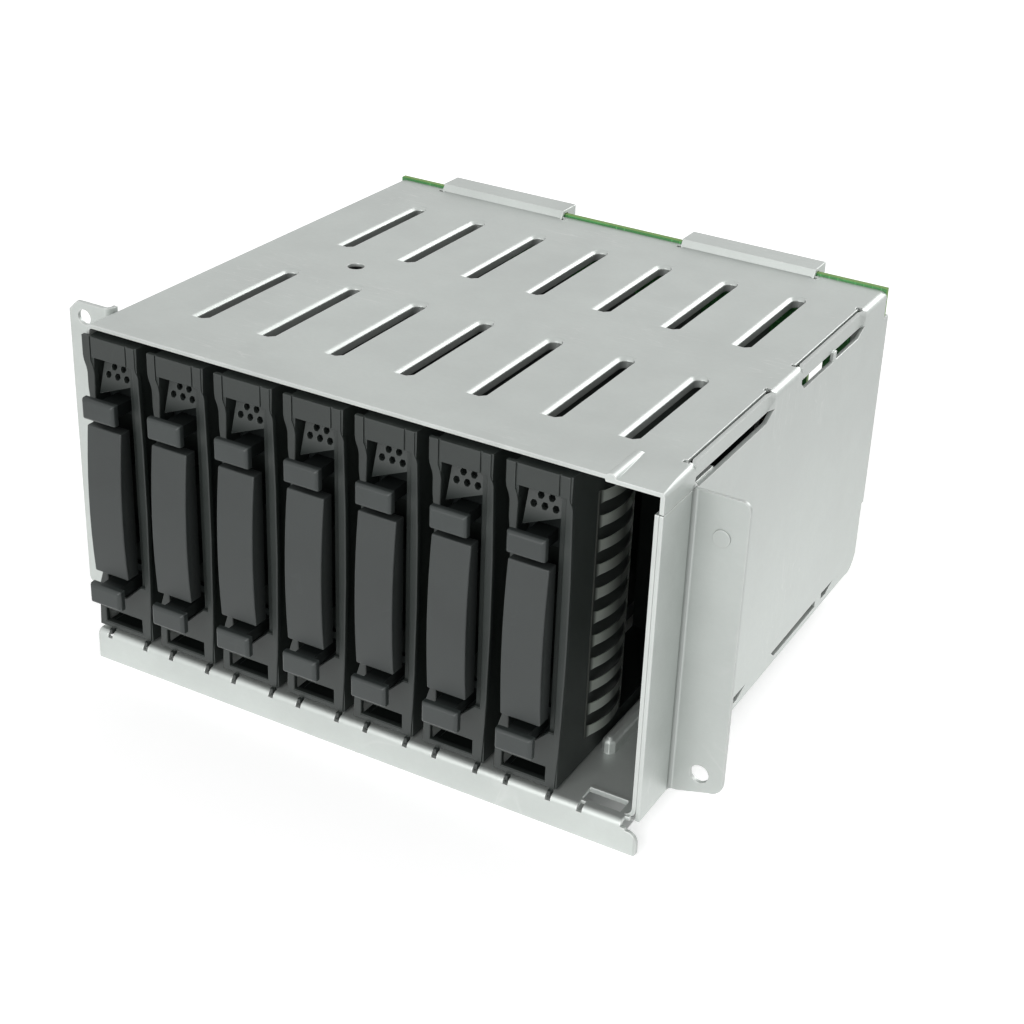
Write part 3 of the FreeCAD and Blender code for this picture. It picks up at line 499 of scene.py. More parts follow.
# ---- shader trees ----
class Net:
    """A shader tree being built, with short calls for its commonest nodes."""

    def __init__(self, tree):
        self.tree = tree
        self.place = None

    def node(self, kind, inputs=None, **settings):
        made = self.tree.nodes.new("ShaderNode" + kind)
        for key, value in settings.items():
            setattr(made, key, value)
        for key, value in (inputs or {}).items():
            self.feed(made.inputs[key], value)
        return made

    def feed(self, socket, value):
        """Links a socket, or sets its value."""
        if isinstance(value, bpy.types.NodeSocket):
            self.tree.links.new(value, socket)
        else:
            socket.default_value = value

    def connect(self, made, **sockets):
        """Feeds a node's sockets, whose names are given with _ for a space."""
        for name, value in sockets.items():
            self.feed(made.inputs[name.replace("_", " ")], value)

    def maths(self, operation, *values):
        return self.node("Math", dict(enumerate(values)), operation=operation).outputs[0]

    def times(self, *values):
        """The product of values and sockets."""
        return functools.reduce(lambda first, second: self.maths("MULTIPLY", first, second), values)

    def total(self, start, *parts):
        """A start plus parts, each a socket with its weight."""
        for value, weight in parts:
            start = self.maths("ADD", start, self.times(value, weight))
        return start

    def off(self, value, middle):
        """How far a value lies from a middle, either way."""
        return self.maths("ABSOLUTE", self.maths("SUBTRACT", value, middle))

    def ramp(self, value, low, high, kind="LINEAR"):
        """Maps a value between two levels to 0 and 1."""
        made = self.node("MapRange", {"Value": value, "From Min": low, "From Max": high},
                         interpolation_type=kind, clamp=True)
        return made.outputs["Result"]

    def blend(self, mask, first, second):
        """Colour between two colours or sockets."""
        made = self.node("Mix", data_type="RGBA")
        self.feed(made.inputs[0], mask)
        for index, value in ((6, first), (7, second)):
            is_socket = isinstance(value, bpy.types.NodeSocket)
            self.feed(made.inputs[index], value if is_socket else (*value[:3], 1.0))
        return made.outputs[2]

    def noise(self, place, **levels):
        made = self.node("TexNoise", {"Vector": place})
        self.connect(made, **levels)
        return made.outputs["Fac"]

    def turned(self, place, **levels):
        """A place that is stretched or turned, for a pattern with a direction."""
        return self.node("Mapping", {"Vector": place, **levels}).outputs["Vector"]

    def parts(self, vector):
        return self.node("SeparateXYZ", {"Vector": vector}).outputs

    def use(self, group, **inputs):
        return self.node("Group", {"Place": self.place, **inputs}, node_tree=group()).outputs

    def bump(self, height, distance):
        return self.node("Bump", {"Height": height, "Distance": distance, "Strength": 1.0}).outputs["Normal"]


def make_once(builder):
    """Keeps a group or a material, so that whatever uses it shares it."""
    kept = []

    @functools.wraps(builder)
    def get():
        if not kept:
            kept.append(builder())
        return kept[0]
    return get


def new_group(name, inputs, outputs):
    """An empty shader group: its net, what comes in, and its end node. A place has no default."""
    tree = bpy.data.node_groups.new(name, "ShaderNodeTree")
    for label, default in inputs.items():
        kind = "NodeSocketVector" if default is None else "NodeSocketFloat"
        socket = tree.interface.new_socket(name=label, in_out="INPUT", socket_type=kind)
        if default is not None:
            socket.default_value = default
    for label in outputs:
        tree.interface.new_socket(name=label, in_out="OUTPUT", socket_type="NodeSocketFloat")
    start = tree.nodes.new("NodeGroupInput").outputs
    return Net(tree), start, tree.nodes.new("NodeGroupOutput")


def new_material(name):
    """A material: itself, its net with its object coordinates, and its shader."""
    material = bpy.data.materials.new(name)
    material.use_nodes = True
    net = Net(material.node_tree)
    net.place = net.node("TexCoord").outputs["Object"]
    return material, net, net.tree.nodes["Principled BSDF"]


def shade(colour, factor):
    return tuple(min(1.0, c * factor) for c in colour[:3])


@make_once
def surface_grain():
    """Fine moulded or rolled grain, as a height and a mask."""
    net, start, end = new_group("surface_grain", {"Place": None, "Scale": 4000.0, "Detail": 3.0},
                                ("Height", "Mask"))
    noise = net.noise(start["Place"], Scale=start["Scale"], Detail=start["Detail"], Roughness=0.6)
    net.connect(end, Height=noise, Mask=net.ramp(noise, 0.35, 0.65))
    return net.tree


@make_once
def uneven_patches():
    """Soft uneven patches, two sizes mixed."""
    net, start, end = new_group("uneven_patches", {"Place": None, "Scale": 30.0, "Contrast": 0.5}, ("Mask",))
    wide = net.noise(start["Place"], Scale=start["Scale"], Detail=2.0, Roughness=0.5, Distortion=0.6)
    close = net.noise(start["Place"], Scale=net.times(start["Scale"], 5.3), Detail=4.0, Roughness=0.55)
    both = net.total(net.times(wide, 0.65), (close, 0.35))
    low, high = (net.total(0.5, (start["Contrast"], spread)) for spread in (-0.3, 0.3))
    net.connect(end, Mask=net.ramp(both, low, high, "SMOOTHSTEP"))
    return net.tree


@make_once
def thin_scratches():
    """Thin, broken scratches along the surface, in two directions."""
    net, start, end = new_group("thin_scratches", {"Place": None, "Scale": 60.0, "Amount": 0.4}, ("Mask",))
    masks = []
    for turn, stretch in ((0.5, 14.0), (-1.1, 10.0)):
        place = net.turned(start["Place"], Rotation=(0.3, turn, turn), Scale=(1.0, stretch, 1.0))
        noise = net.noise(place, Scale=start["Scale"], Detail=1.0, Distortion=0.2)
        masks.append(net.ramp(net.off(noise, 0.5), 0.012, 0.0))
    breaks = net.noise(start["Place"], Scale=net.times(start["Scale"], 0.7), Detail=2.0)
    lines = net.times(net.maths("MAXIMUM", *masks), net.ramp(breaks, 0.52, 0.66))
    net.connect(end, Mask=net.times(lines, start["Amount"]))
    return net.tree


@make_once
def rubbed_edges():
    """Rubbed outer edges, found from how close the surface lies to its own far side."""
    net, start, end = new_group("rubbed_edges", {"Place": None, "Reach": 0.0005, "Amount": 0.6}, ("Mask",))
    inside = net.node("AmbientOcclusion", {"Distance": start["Reach"]}, inside=True, samples=6,
                      only_local=True)
    edge = net.ramp(inside.outputs["AO"], 0.92, 0.45)
    uneven = net.ramp(net.noise(start["Place"], Scale=420.0, Detail=3.0), 0.25, 0.7)
    worn = net.times(edge, net.total(0.4, (uneven, 0.6)))
    net.connect(end, Mask=net.times(worn, start["Amount"]))
    return net.tree


@make_once
def recess_depth():
    """Mask of what lies behind a front plane and under a height, for the dull tone of deep recesses."""
    net, start, end = new_group("recess_depth", {"Place": None, "Front": 0.0, "Reach": 0.002, "Top": 1.0,
                                                 "Fade": 0.004}, ("Mask", "Under"))
    parts = net.parts(start["Place"])
    behind = net.maths("DIVIDE", net.maths("SUBTRACT", parts["Y"], start["Front"]), start["Reach"])
    under = net.maths("DIVIDE", net.maths("SUBTRACT", start["Top"], parts["Z"]), start["Fade"])
    lower = net.ramp(under, 0.0, 1.0)
    net.connect(end, Mask=net.times(net.ramp(behind, 0.0, 1.0), lower), Under=lower)
    return net.tree


# ---- finishes ----
@make_once
def zinc_steel():
    """Rolled steel sheet with a dull zinc plating, rubbed bright along its edges."""
    look = bpy.context.scene.cage_sheet
    material, net, shader = new_material("zinc_steel")
    rolled = net.turned(net.place, Scale=(0.12, 1.0, 1.0))
    grain = net.use(surface_grain, Place=rolled, Scale=2600.0, Detail=3.0)
    speckle = net.use(surface_grain, Scale=900.0, Detail=4.0)
    patches = net.use(uneven_patches, Scale=22.0, Contrast=0.7)["Mask"]
    scratches = net.use(thin_scratches, Scale=45.0, Amount=0.30)["Mask"]
    worn = net.use(rubbed_edges, Reach=0.5 * MM, Amount=0.55)["Mask"]
    base = net.blend(patches, shade(look.colour, 0.93), shade(look.colour, 1.05))
    specked = net.blend(net.times(speckle["Mask"], 0.10), base, shade(look.colour, 0.80))
    scored = net.blend(scratches, specked, look.cut_colour)
    rubbed = net.blend(worn, scored, look.cut_colour)
    # Painted shade: the slots' inner walls and the right ear take a darker plating colour.
    zinc_shade = net.maths("MAXIMUM", slot_walls(net), ear_tone(net))
    rough = net.total(0.40, (patches, 0.08), (grain["Mask"], 0.05), (worn, -0.12))
    relief = net.total(grain["Height"], (speckle["Height"], 0.6), (scratches, -1.0))
    net.connect(shader, Base_Color=net.blend(zinc_shade, rubbed, shade(look.colour, 0.6)), Roughness=rough,
                Metallic=0.58, Normal=net.bump(relief, 0.006 * MM))
    return material


def ear_tone(net):
    """Mask of the right ear, duller than the walls, and of the inner corner where it is bent."""
    low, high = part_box("right_ear")
    parts = net.parts(net.place)
    across = net.maths("COMPARE", parts["X"], low.x + EAR_BEND[0], EAR_BEND_REACH)
    deep = net.maths("COMPARE", parts["Y"], high.y - EAR_BEND[1], EAR_BEND_REACH)
    crease = net.times(across, deep, net.maths("LESS_THAN", parts["Z"], high.z + 1.0 * MM))
    on_flat = net.maths("GREATER_THAN", parts["X"], low.x + EAR_FLAT)
    return net.maths("MAXIMUM", crease, net.times(EAR_SHADE, on_flat))


def slot_walls(net):
    """Mask of the pressed slots' inner walls, where press oil has dulled the zinc."""
    low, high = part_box("cage_shell")
    parts = net.parts(net.place)
    levels = [net.maths("LESS_THAN", parts["Z"], high.z - SLOT_FLARE),
              net.maths("GREATER_THAN", parts["Z"], high.z - SLOT_FOOT)]
    for axis, margin in WALL_MARGIN.items():
        levels.append(net.maths("GREATER_THAN", parts[axis], getattr(low, axis.lower()) + margin))
        levels.append(net.maths("LESS_THAN", parts[axis], getattr(high, axis.lower()) - margin))
    return net.times(*levels)


def moulded(name, colour, roughness, wear, front=1.0, reach=2.0 * MM, top=1.0):
    """Moulded plastic with a spark-etched grain, lightly rubbed on its edges and dull in its recesses.

    The recesses start behind a front plane and, where a top is given, under that height.
    """
    material, net, shader = new_material(name)
    grain = net.use(surface_grain, Scale=5200.0, Detail=3.0)
    patches = net.use(uneven_patches, Scale=60.0, Contrast=0.8)["Mask"]
    scratches = net.use(thin_scratches, Scale=120.0, Amount=0.12)["Mask"]
    worn = net.use(rubbed_edges, Reach=0.45 * MM, Amount=wear)["Mask"]
    base = net.blend(patches, shade(colour, 0.88), shade(colour, 1.12))
    dusted = net.blend(net.times(grain["Mask"], 0.12), base, shade(colour, 1.7))
    scored = net.blend(scratches, dusted, shade(colour, 2.4))
    rubbed = net.blend(worn, scored, shade(colour, 2.6))
    # Painted shade: the recesses get a darker base with metallic raised, so that they read dark.
    recess = net.use(recess_depth, Front=front, Reach=reach, Top=top, Fade=3.6 * MM)
    inner = recess["Mask"]
    if top < 1.0:
        inner = vents_and_recesses(net, recess)
    rough = net.total(roughness, (patches, 0.07), (worn, -0.10), (inner, 0.2))
    net.connect(shader, Base_Color=net.blend(inner, rubbed, shade(colour, 0.8)), Roughness=rough,
                Metallic=net.times(inner, 0.9), Normal=net.bump(grain["Height"], 0.012 * MM))
    return material


def vents_and_recesses(net, recess):
    """Mask of the recesses without the rail's outer side, and with the whole leaning vent panel."""
    facing = net.parts(net.node("TexCoord").outputs["Normal"])
    leaning = net.times(net.maths("COMPARE", facing["Z"], 0.3, 0.16),
                        net.maths("LESS_THAN", facing["Y"], -0.8), recess["Under"])
    kept = net.times(recess["Mask"], net.maths("LESS_THAN", facing["X"], 0.7))
    return net.maths("MAXIMUM", kept, leaning)


@make_once
def blank_plastic():
    look = bpy.context.scene.cage_blank
    low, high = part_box("blank_%d_body" % BLANKS[0])
    # Painted shade behind the front face, and on the leaning vent panel's lower part.
    return moulded("blank_plastic", look.body_colour, 0.42, 0.35, front=low.y + look.nib_reach + 0.5 * MM,
                   reach=1.2 * MM, top=high.z - 9.6 * MM)


@make_once
def grip_plastic():
    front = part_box("blank_%d_grip" % BLANKS[0])[0].y
    # Painted shade on the grip's sides, from a little behind its front.
    return moulded("grip_plastic", bpy.context.scene.cage_blank.grip_colour, 0.46, 0.30,
                   front=front + 1.6 * MM, reach=2.6 * MM)


@make_once
def latch_plastic():
    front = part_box("blank_%d_upper_latch" % BLANKS[0])[0].y
    # Painted shade on the tabs' sides and stems, from a little behind their fronts.
    return moulded("latch_plastic", bpy.context.scene.cage_blank.tab_colour, 0.40, 0.45,
                   front=front + 0.7 * MM, reach=1.8 * MM)


@make_once
def socket_plastic():
    return moulded("socket_plastic", (0.020, 0.021, 0.022), 0.38, 0.25)


@make_once
def ceramic():
    return moulded("ceramic", (0.30, 0.22, 0.14), 0.45, 0.10)


def bare_metal(name, colour, roughness, grain_scale, stretch=(1.0, 1.0, 1.0), metallic=1.0, shade_mask=None):
    """Bright metal with a fine drawn grain and slightly dull patches, and a tarnish where it has one."""
    material, net, shader = new_material(name)
    drawn = net.turned(net.place, Scale=stretch)
    grain = net.use(surface_grain, Place=drawn, Scale=grain_scale, Detail=2.0)
    patches = net.use(uneven_patches, Scale=90.0, Contrast=0.8)["Mask"]
    worn = net.use(rubbed_edges, Reach=0.3 * MM, Amount=0.4)["Mask"]
    final = net.blend(worn, net.blend(patches, shade(colour, 0.86), colour), shade(colour, 1.25))
    # Painted shade, where a mask for it is given.
    if shade_mask:
        final = net.blend(shade_mask(net), final, shade(colour, 0.16))
    net.connect(shader, Base_Color=final, Roughness=net.total(roughness, (patches, 0.10)),
                Metallic=metallic, Normal=net.bump(grain["Height"], 0.004 * MM))
    return material


@make_once
def spring_steel():
    return bare_metal("spring_steel", (0.56, 0.60, 0.55), 0.30, 3000.0, stretch=(1.0, 0.1, 1.0),
                      metallic=0.7, shade_mask=strip_tarnish)


def strip_tarnish(net):
    """The strip is dark along its front band and again from the fingers' crests on."""
    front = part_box("blank_%d_spring_strip" % BLANKS[0])[0].y
    band = bpy.context.scene.cage_spring.band
    far = net.use(recess_depth, Front=front + 2.5 * MM, Reach=7.0 * MM)["Mask"]
    near = net.ramp(net.parts(net.place)["Y"], front + band + 0.9 * MM, front + band + 0.1 * MM)
    return net.maths("MAXIMUM", far, near)


@make_once
def screw_steel():
    return bare_metal("screw_steel", (0.52, 0.51, 0.47), 0.28, 2500.0)


@make_once
def socket_shield():
    return bare_metal("socket_shield", (0.60, 0.60, 0.58), 0.24, 2800.0, stretch=(0.2, 1.0, 1.0))


@make_once
def contact_gold():
    return bare_metal("contact_gold", (0.80, 0.56, 0.22), 0.20, 3000.0)


@make_once
def solder():
    return bare_metal("solder", (0.58, 0.58, 0.57), 0.30, 2500.0)


@make_once
def circuit_board():
    """Glass-fibre board: lacquered faces with tracks, and a paler cut edge."""
    look = bpy.context.scene.cage_board
    material, net, shader = new_material("circuit_board")
    facing = net.parts(net.node("NewGeometry").outputs["Normal"])
    is_face = net.ramp(net.maths("ABSOLUTE", facing["Y"]), 0.55, 0.75)
    lines = board_tracks(net)
    patches = net.use(uneven_patches, Scale=40.0, Contrast=0.8)["Mask"]
    weave = net.use(surface_grain, Scale=1800.0, Detail=2.0)
    mask = net.blend(patches, shade(look.mask_colour, 0.85), shade(look.mask_colour, 1.1))
    tracked = net.blend(lines, mask, shade(look.mask_colour, 1.7))
    layers = net.maths("FRACT", net.times(net.parts(net.place)["Y"], 2500.0))
    strata = net.ramp(net.off(layers, 0.5), 0.30, 0.45)
    core = net.blend(net.times(strata, 0.5), look.core_colour, (0.42, 0.52, 0.16))
    core = net.blend(net.times(weave["Mask"], 0.3), core, shade(look.core_colour, 0.7))
    relief = net.total(net.times(lines, is_face), (weave["Height"], 0.2))
    net.connect(shader, Base_Color=net.blend(is_face, core, tracked),
                Roughness=net.total(0.62, (is_face, -0.30)), Normal=net.bump(relief, 0.03 * MM))
    return material


def board_tracks(net):
    """Mask of straight tracks, upright in some cells, level in others and none in the rest."""
    parts = net.parts(net.place)
    tracks = []
    for axis, per_metre, edge in (("Z", 1270.0 / 2, 0.36), ("X", 1270.0 / 3, 0.40)):
        row = net.maths("FRACT", net.times(parts[axis], per_metre))
        tracks.append(net.ramp(net.off(row, 0.5), edge, edge + 0.05))
    cells = net.node("TexVoronoi", {"Vector": net.place, "Scale": 95.0}, distance="CHEBYCHEV")
    drawn = net.parts(cells.outputs["Color"])
    level = net.ramp(drawn["X"], 0.49, 0.51)
    lines = net.maths("ADD", net.times(tracks[0], level),
                      net.times(tracks[1], net.maths("SUBTRACT", 1.0, level)))
    return net.times(lines, net.ramp(drawn["Y"], 0.30, 0.32))


# ---- studio ----
def studio_floor():
    """Pale floor that shows white to the eye and in gloss, and keeps the cage's shadow."""
    look = bpy.context.scene.cage_stage
    material, net, shader = new_material("studio_floor")
    patches = net.use(uneven_patches, Scale=2.0, Contrast=0.3)["Mask"]
    low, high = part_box("floor_tray")
    parts = net.parts(net.place)
    covered = [net.maths("COMPARE", parts[axis], (first + last) / 2, (last - first) / 2 - GLOW_RIM)
               for axis, first, last in (("X", low.x, high.x), ("Y", low.y, high.y))]
    open_floor = net.total(1.0, (net.times(*covered), -1.0))
    away = net.node("VectorMath", {0: net.place}, operation="LENGTH").outputs["Value"]
    plain = net.total(SEEN_GLOW[0], (net.ramp(away, *SEEN_REACH), SEEN_GLOW[1] - SEEN_GLOW[0]))
    gloss = net.total(GLOSS_GLOW[0], (net.ramp(away, *GLOSS_REACH), GLOSS_GLOW[1] - GLOSS_GLOW[0]))
    rays = net.node("LightPath").outputs
    mirrored = net.maths("MAXIMUM", rays["Is Glossy Ray"], rays["Is Transmission Ray"])
    seen = net.total(net.times(rays["Is Camera Ray"], plain), (mirrored, gloss))
    net.connect(shader, Base_Color=net.blend(patches, look.floor_colour, shade(look.floor_colour, 1.01)),
                Roughness=0.9, Specular_IOR_Level=0.1, Emission_Color=WHITE,
                Emission_Strength=net.times(seen, open_floor))
    return material


def studio_world():
    """White to the eye and in gloss, and dimmer as a light on the cage."""
    look = bpy.context.scene.cage_stage
    world = bpy.data.worlds.new("studio")
    bpy.context.scene.world = world
    world.use_nodes = True
    net = Net(world.node_tree)
    rays = net.node("LightPath").outputs
    seen = net.maths("MAXIMUM", rays["Is Camera Ray"], rays["Is Glossy Ray"])
    seen = net.maths("MAXIMUM", seen, rays["Is Transmission Ray"])
    net.connect(net.tree.nodes["Background"], Color=WHITE,
                Strength=net.total(look.room_light, (seen, 1.0 - look.room_light)))


def area_lamp(name, place, size, power):
    """A square lamp aimed at the cage's middle."""
    light = bpy.data.lights.new(name, "AREA")
    light.shape = "SQUARE"
    light.size = size
    light.energy = power
    lamp = bpy.data.objects.new(name, light)
    bpy.context.scene.collection.objects.link(lamp)
    lamp.location = place
    aim = (CAD_LOW + CAD_HIGH) / 2 - Vector(place)
    lamp.rotation_euler = aim.to_track_quat("-Z", "Y").to_euler()


@operator
def stage(scene):
    """Make the floor, the lamps, the room light and the camera"""
    look = scene.cage_stage
    deselect_all()
    bpy.ops.mesh.primitive_plane_add(size=look.floor_size, location=(0, 0, CAD_LOW.z - FLOOR_GAP))
    floor = settle(bpy.context.object, "studio_floor")
    floor.data.materials.append(studio_floor())
    studio_world()
    area_lamp("key_lamp", *KEY_LAMP, look.key_power)
    area_lamp("rim_lamp", *RIM_LAMP, look.rim_power)
    add_camera(scene)
    scene.view_settings.view_transform = "Standard"


def add_camera(scene):
    data = bpy.data.cameras.new("camera")
    camera = bpy.data.objects.new("camera", data)
    scene.collection.objects.link(camera)
    right, ahead = (Vector(way).normalized() for way in (CAMERA_RIGHT, CAMERA_AHEAD))
    turn = Matrix((right, right.cross(ahead), -ahead)).transposed().to_4x4()
    camera.matrix_world = Matrix.Translation(CAMERA_PLACE) @ turn
    data.sensor_width = 36.0
    data.lens = CAMERA_LENS
    data.shift_x, data.shift_y = CAMERA_SHIFT
    data.clip_start = 0.01
    scene.camera = camera


# ---- sheet metal ----
@operator
def sheet_metal(scene):
    """Dress the folded shell, the floor tray and the two mounting ears"""
    look = scene.cage_sheet
    dress_shell(look)
    dress_tray(look)
    for name in ("left_ear", "right_ear"):
        dress(name, "plated", zinc_steel, look.soft_edge, 2,
              lambda middle, faces: 0.0 if hollow(faces) else 1.0)


def dress_shell(look):
    """The top sheet rolls down into each slot along its left side and rear end."""
    low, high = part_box("cage_shell")
    under_roll = high.z - ROLL_FOOT
    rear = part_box("backplane_board")[0].y - SLOTS_REAR

    def roll_share(middle, faces):
        at_wall = middle.x > high.x - STRIP_WALL
        if at_wall and any(abs(middle.y - end) < STRIP_END_REACH for end in STRIP_ENDS):
            return 0.0
        if middle.y < low.y + FRONT_FOLD and middle.z > under_roll:
            return look.front_edge / look.slot_roll
        slanted = any(SLANTED[0] < face.normal.z < SLANTED[1] for face in faces)
        upper = any(face.normal.z > LEVEL for face in faces)
        in_slots = low.x + SLOTS_LEFT < middle.x < high.x - SLOTS_RIGHT and middle.y < rear
        rolled = slanted and upper and in_slots and middle.z > under_roll
        return 1.0 if rolled else look.soft_edge / look.slot_roll
    dress("cage_shell", "plated", zinc_steel, look.slot_roll, 3, roll_share, NOTCH_CORNER)


def dress_tray(look):
    """The pressed beads on the floor are rounder than the cut edges."""
    crest_low, crest_high = (CAD_LOW.z + FLOOR_TOP + height for height in BEAD_HEIGHTS)
    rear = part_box("backplane_board")[0].y - BEADS_REAR

    def bead_share(middle, faces):
        inside = CAD_LOW.x + BEADS_LEFT < middle.x < CAD_HIGH.x - BEADS_RIGHT and middle.y < rear
        on_bead = inside and crest_low < middle.z < crest_high
        return 1.0 if on_bead else look.soft_edge / look.bead_edge
    dress("floor_tray", "plated", zinc_steel, look.bead_edge, 3, bead_share)


# ---- filler blanks ----
@operator
def blank_bodies(scene):
    """Dress the blanks' moulded bodies, with fuller rounding on their fronts"""
    look = scene.cage_blank
    for i in BLANKS:
        name = "blank_%d_body" % i
        low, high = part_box(name)
        front = low.y + look.nib_reach
        vents_high = high.z - VENTS_TOP

        def front_share(middle, faces):
            if any(face.normal.y < -FACING and abs(face.center.y - front) < SAME_PLANE for face in faces):
                return 1.0
            in_panel = vents_high - VENTS_TALL < middle.z < vents_high
            is_vent = in_panel and all(face.area < VENT_FACE for face in faces)
            return (look.vent_edge if is_vent else look.inner_edge) / look.front_edge
        dress(name, "moulding", blank_plastic, look.front_edge, 3, front_share)


def dress_front(node, ending, finish, width, inner_width, depth):
    """Dresses a moulded part, rounder in its front depth than behind it."""
    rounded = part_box(node)[0].y + depth
    dress(node, ending, finish, width, 3,
          lambda middle, faces: 1.0 if middle.y < rounded else inner_width / width)


@operator
def blank_grips(scene):
    """Dress the bowed grips"""
    look = scene.cage_blank
    for i in BLANKS:
        dress_front("blank_%d_grip" % i, "cover", grip_plastic, look.grip_edge, look.inner_edge,
                    GRIP_COVER)


@operator
def finger_tabs(scene):
    """Dress the upper and lower finger tabs"""
    look = scene.cage_blank
    for i in BLANKS:
        for side in ("upper", "lower"):
            dress_front("blank_%d_%s_latch" % (i, side), "moulding", latch_plastic, look.tab_edge,
                        look.inner_edge, TAB_FRONT)


@operator
def spring_strips(scene):
    """Make the strips of curved spring fingers"""
    low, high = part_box("blank_%d_spring_strip" % BLANKS[0])
    strip = make_strip(scene.cage_spring, low, high)
    for i in BLANKS:
        name = "blank_%d_spring_strip" % i
        piece = copy_to(strip, name + "_steel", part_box(name)[0] - low)
        finish_piece(piece, spring_steel, name)
    only(strip)
    bpy.ops.object.delete()


def make_strip(look, low, high):
    """One strip: a finger with its bands is repeated, closed to one sheet and thickened."""
    tall = (high.z - low.z) - (look.fingers - 1) * look.pitch
    piece = make_finger(look, low, high, tall)
    front, rear = low.y + look.band, high.y - look.band
    for first, last in ((low.y, front), (rear, high.y)):
        draw_out(piece, "EDGE", lambda e: on_band(piece, e, first, last, low.z + tall - TINY),
                 (0, 0, look.pitch - tall))
    crest = 0.2 * MM
    pick(piece, "VERT", lambda v: front + crest < v.co.y < rear - crest)
    bpy.ops.transform.resize(value=(1, 1, look.waist), center_override=(0, 0, low.z + tall / 2))
    done()
    repeat(piece, look.fingers, (0, 0, look.pitch))
    edit(piece)
    bpy.ops.mesh.remove_doubles(threshold=TINY)
    done()
    cut_away(piece, lambda v: v.co.z > high.z + 10 * TINY)
    turn_outward(piece)
    skin = piece.modifiers.new("skin", "SOLIDIFY")
    skin.thickness = look.skin
    skin.offset = 1.0 if sum(face.normal.x for face in piece.data.polygons) > 0 else -1.0
    apply_all(piece)
    turn_outward(piece)
    smooth(piece, 30.0)
    return piece


def make_finger(look, low, high, tall):
    """One finger: an edge spun to an arc, with a band drawn out at each end."""
    reach = (high.y - low.y) / 2 - look.band
    bulge = high.x - low.x - look.skin
    radius = (reach * reach + bulge * bulge) / (2 * bulge)
    front = low.y + look.band
    deselect_all()
    bpy.ops.mesh.primitive_plane_add(size=tall, location=(low.x, front - tall / 2, low.z + tall / 2),
                                     rotation=(0, math.pi / 2, 0))
    piece = settle(bpy.context.object, "spring_strip")
    cut_away(piece, lambda v: v.co.y < front - tall / 2)
    edit(piece)
    bpy.ops.mesh.spin(steps=12, angle=2 * math.asin(reach / radius), axis=(0, 0, -1),
                      center=(low.x + bulge - radius, (low.y + high.y) / 2, low.z))
    done()
    for end, step in ((min, -look.band), (max, look.band)):
        edge_y = end(v.co.y for v in piece.data.vertices)
        draw_out(piece, "VERT", lambda v: abs(v.co.y - edge_y) < TINY, (0, step, 0))
    return piece


def on_band(piece, edge, first, last, top):
    """True for a band's upper edge."""
    return all(end.z > top and first - TINY < end.y < last + TINY for end in ends_of(piece.data, edge))


# ---- backplane ----
def bay_pitch():
    first, second = (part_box("blank_%d_body" % i)[0].x for i in BLANKS[:2])
    return second - first


def socket_x(bay):
    """Middle of a bay's drive socket, across the cage."""
    low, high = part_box("drive_sockets")
    return low.x + (high.x - low.x - (BAYS - 1) * bay_pitch()) / 2 + bay * bay_pitch()


@operator
def backplane(scene):
    """Dress the backplane board, and put the small parts on its rear"""
    look = scene.cage_board
    dress("backplane_board", "laminate", circuit_board, 0.06 * MM, 1)
    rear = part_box("backplane_board")[1].y
    add_joints(look, rear)
    add_chips(look, rear)
    add_cans(look, rear)
    add_chip_parts(rear)


def add_joints(look, rear):
    """Domes of solder where the drive sockets' contacts come through the board."""
    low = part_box("drive_sockets")[0].z + 2.5 * MM
    dome = add_rod("solder_dome", (socket_x(0) - look.contact_pitch, rear + JOINT_TALL / 2, low),
                   JOINT_RADIUS, JOINT_TALL, 8)
    inset(dome, faces_rear, 0.2 * MM, 0.12 * MM)
    repeat(dome, JOINTS, (0, 0, look.contact_pitch))
    repeat(dome, 2, (2 * look.contact_pitch, 0, 0))
    repeat(dome, BAYS, (bay_pitch(), 0, 0))
    smooth(dome, 60.0)
    finish_piece(dome, solder)


def add_chips(look, rear):
    """Square chips with a row of leads along each side."""
    half = look.chip_size / 2
    z = CHIP_LEVEL
    bottom, top = (rear + height for height in CHIP_HEIGHTS)
    bodies = []
    leads = []
    for bay in CHIP_BAYS:
        x = socket_x(bay)
        body = add_block("chip", (x - half, bottom, z - half), (x + half, top, z + half), CHIP_EDGE)
        inset(body, lambda face: faces_rear(face) and face.area > half * half, 0.5 * MM, -0.06 * MM)
        bodies.append(body)
        for side in (-1, 1):
            edge = x + side * half
            lead = add_block("lead", (edge, rear, z - half + LEAD_START),
                             (edge + side * LEAD_LONG, rear + LEAD_HIGH, z - half + LEAD_END))
            leads.append(repeat(lead, LEAD_COUNT, (0, 0, LEAD_PITCH)))
            edge = z + side * half
            lead = add_block("lead", (x - half + LEAD_START, rear, edge),
                             (x - half + LEAD_END, rear + LEAD_HIGH, edge + side * LEAD_LONG))
            leads.append(repeat(lead, LEAD_COUNT, (LEAD_PITCH, 0, 0)))
    finish_group(bodies, "board_chips", socket_plastic)
    finish_piece(join_all(leads, "board_chip_leads"), solder)


def add_cans(look, rear):
    """Round capacitors with a rolled rim and a sleeve on a square base."""
    cans = []
    bases = []
    half = CAN_BASE * look.can_radius
    z = CAN_LEVEL
    for bay in CAN_BAYS:
        x = socket_x(bay)
        bases.append(add_block("base", (x - half, rear, z - half), (x + half, rear + 0.7 * MM, z + half),
                               0.25 * MM))
        can = add_rod("can", (x, rear + CAN_MIDDLE, z), look.can_radius, CAN_TALL, 32)
        pick(can, "FACE", faces_rear)
        bpy.ops.mesh.bevel(offset=CAN_RIM, segments=3, affect="EDGES")
        done()
        inset(can, lambda face: faces_rear(face) and face.area > 4 * MM * MM, CAN_RIM, -0.12 * MM)
        cans.append(can)
    finish_group(cans, "board_capacitors", socket_shield)
    finish_group(bases, "board_capacitor_bases", socket_plastic)


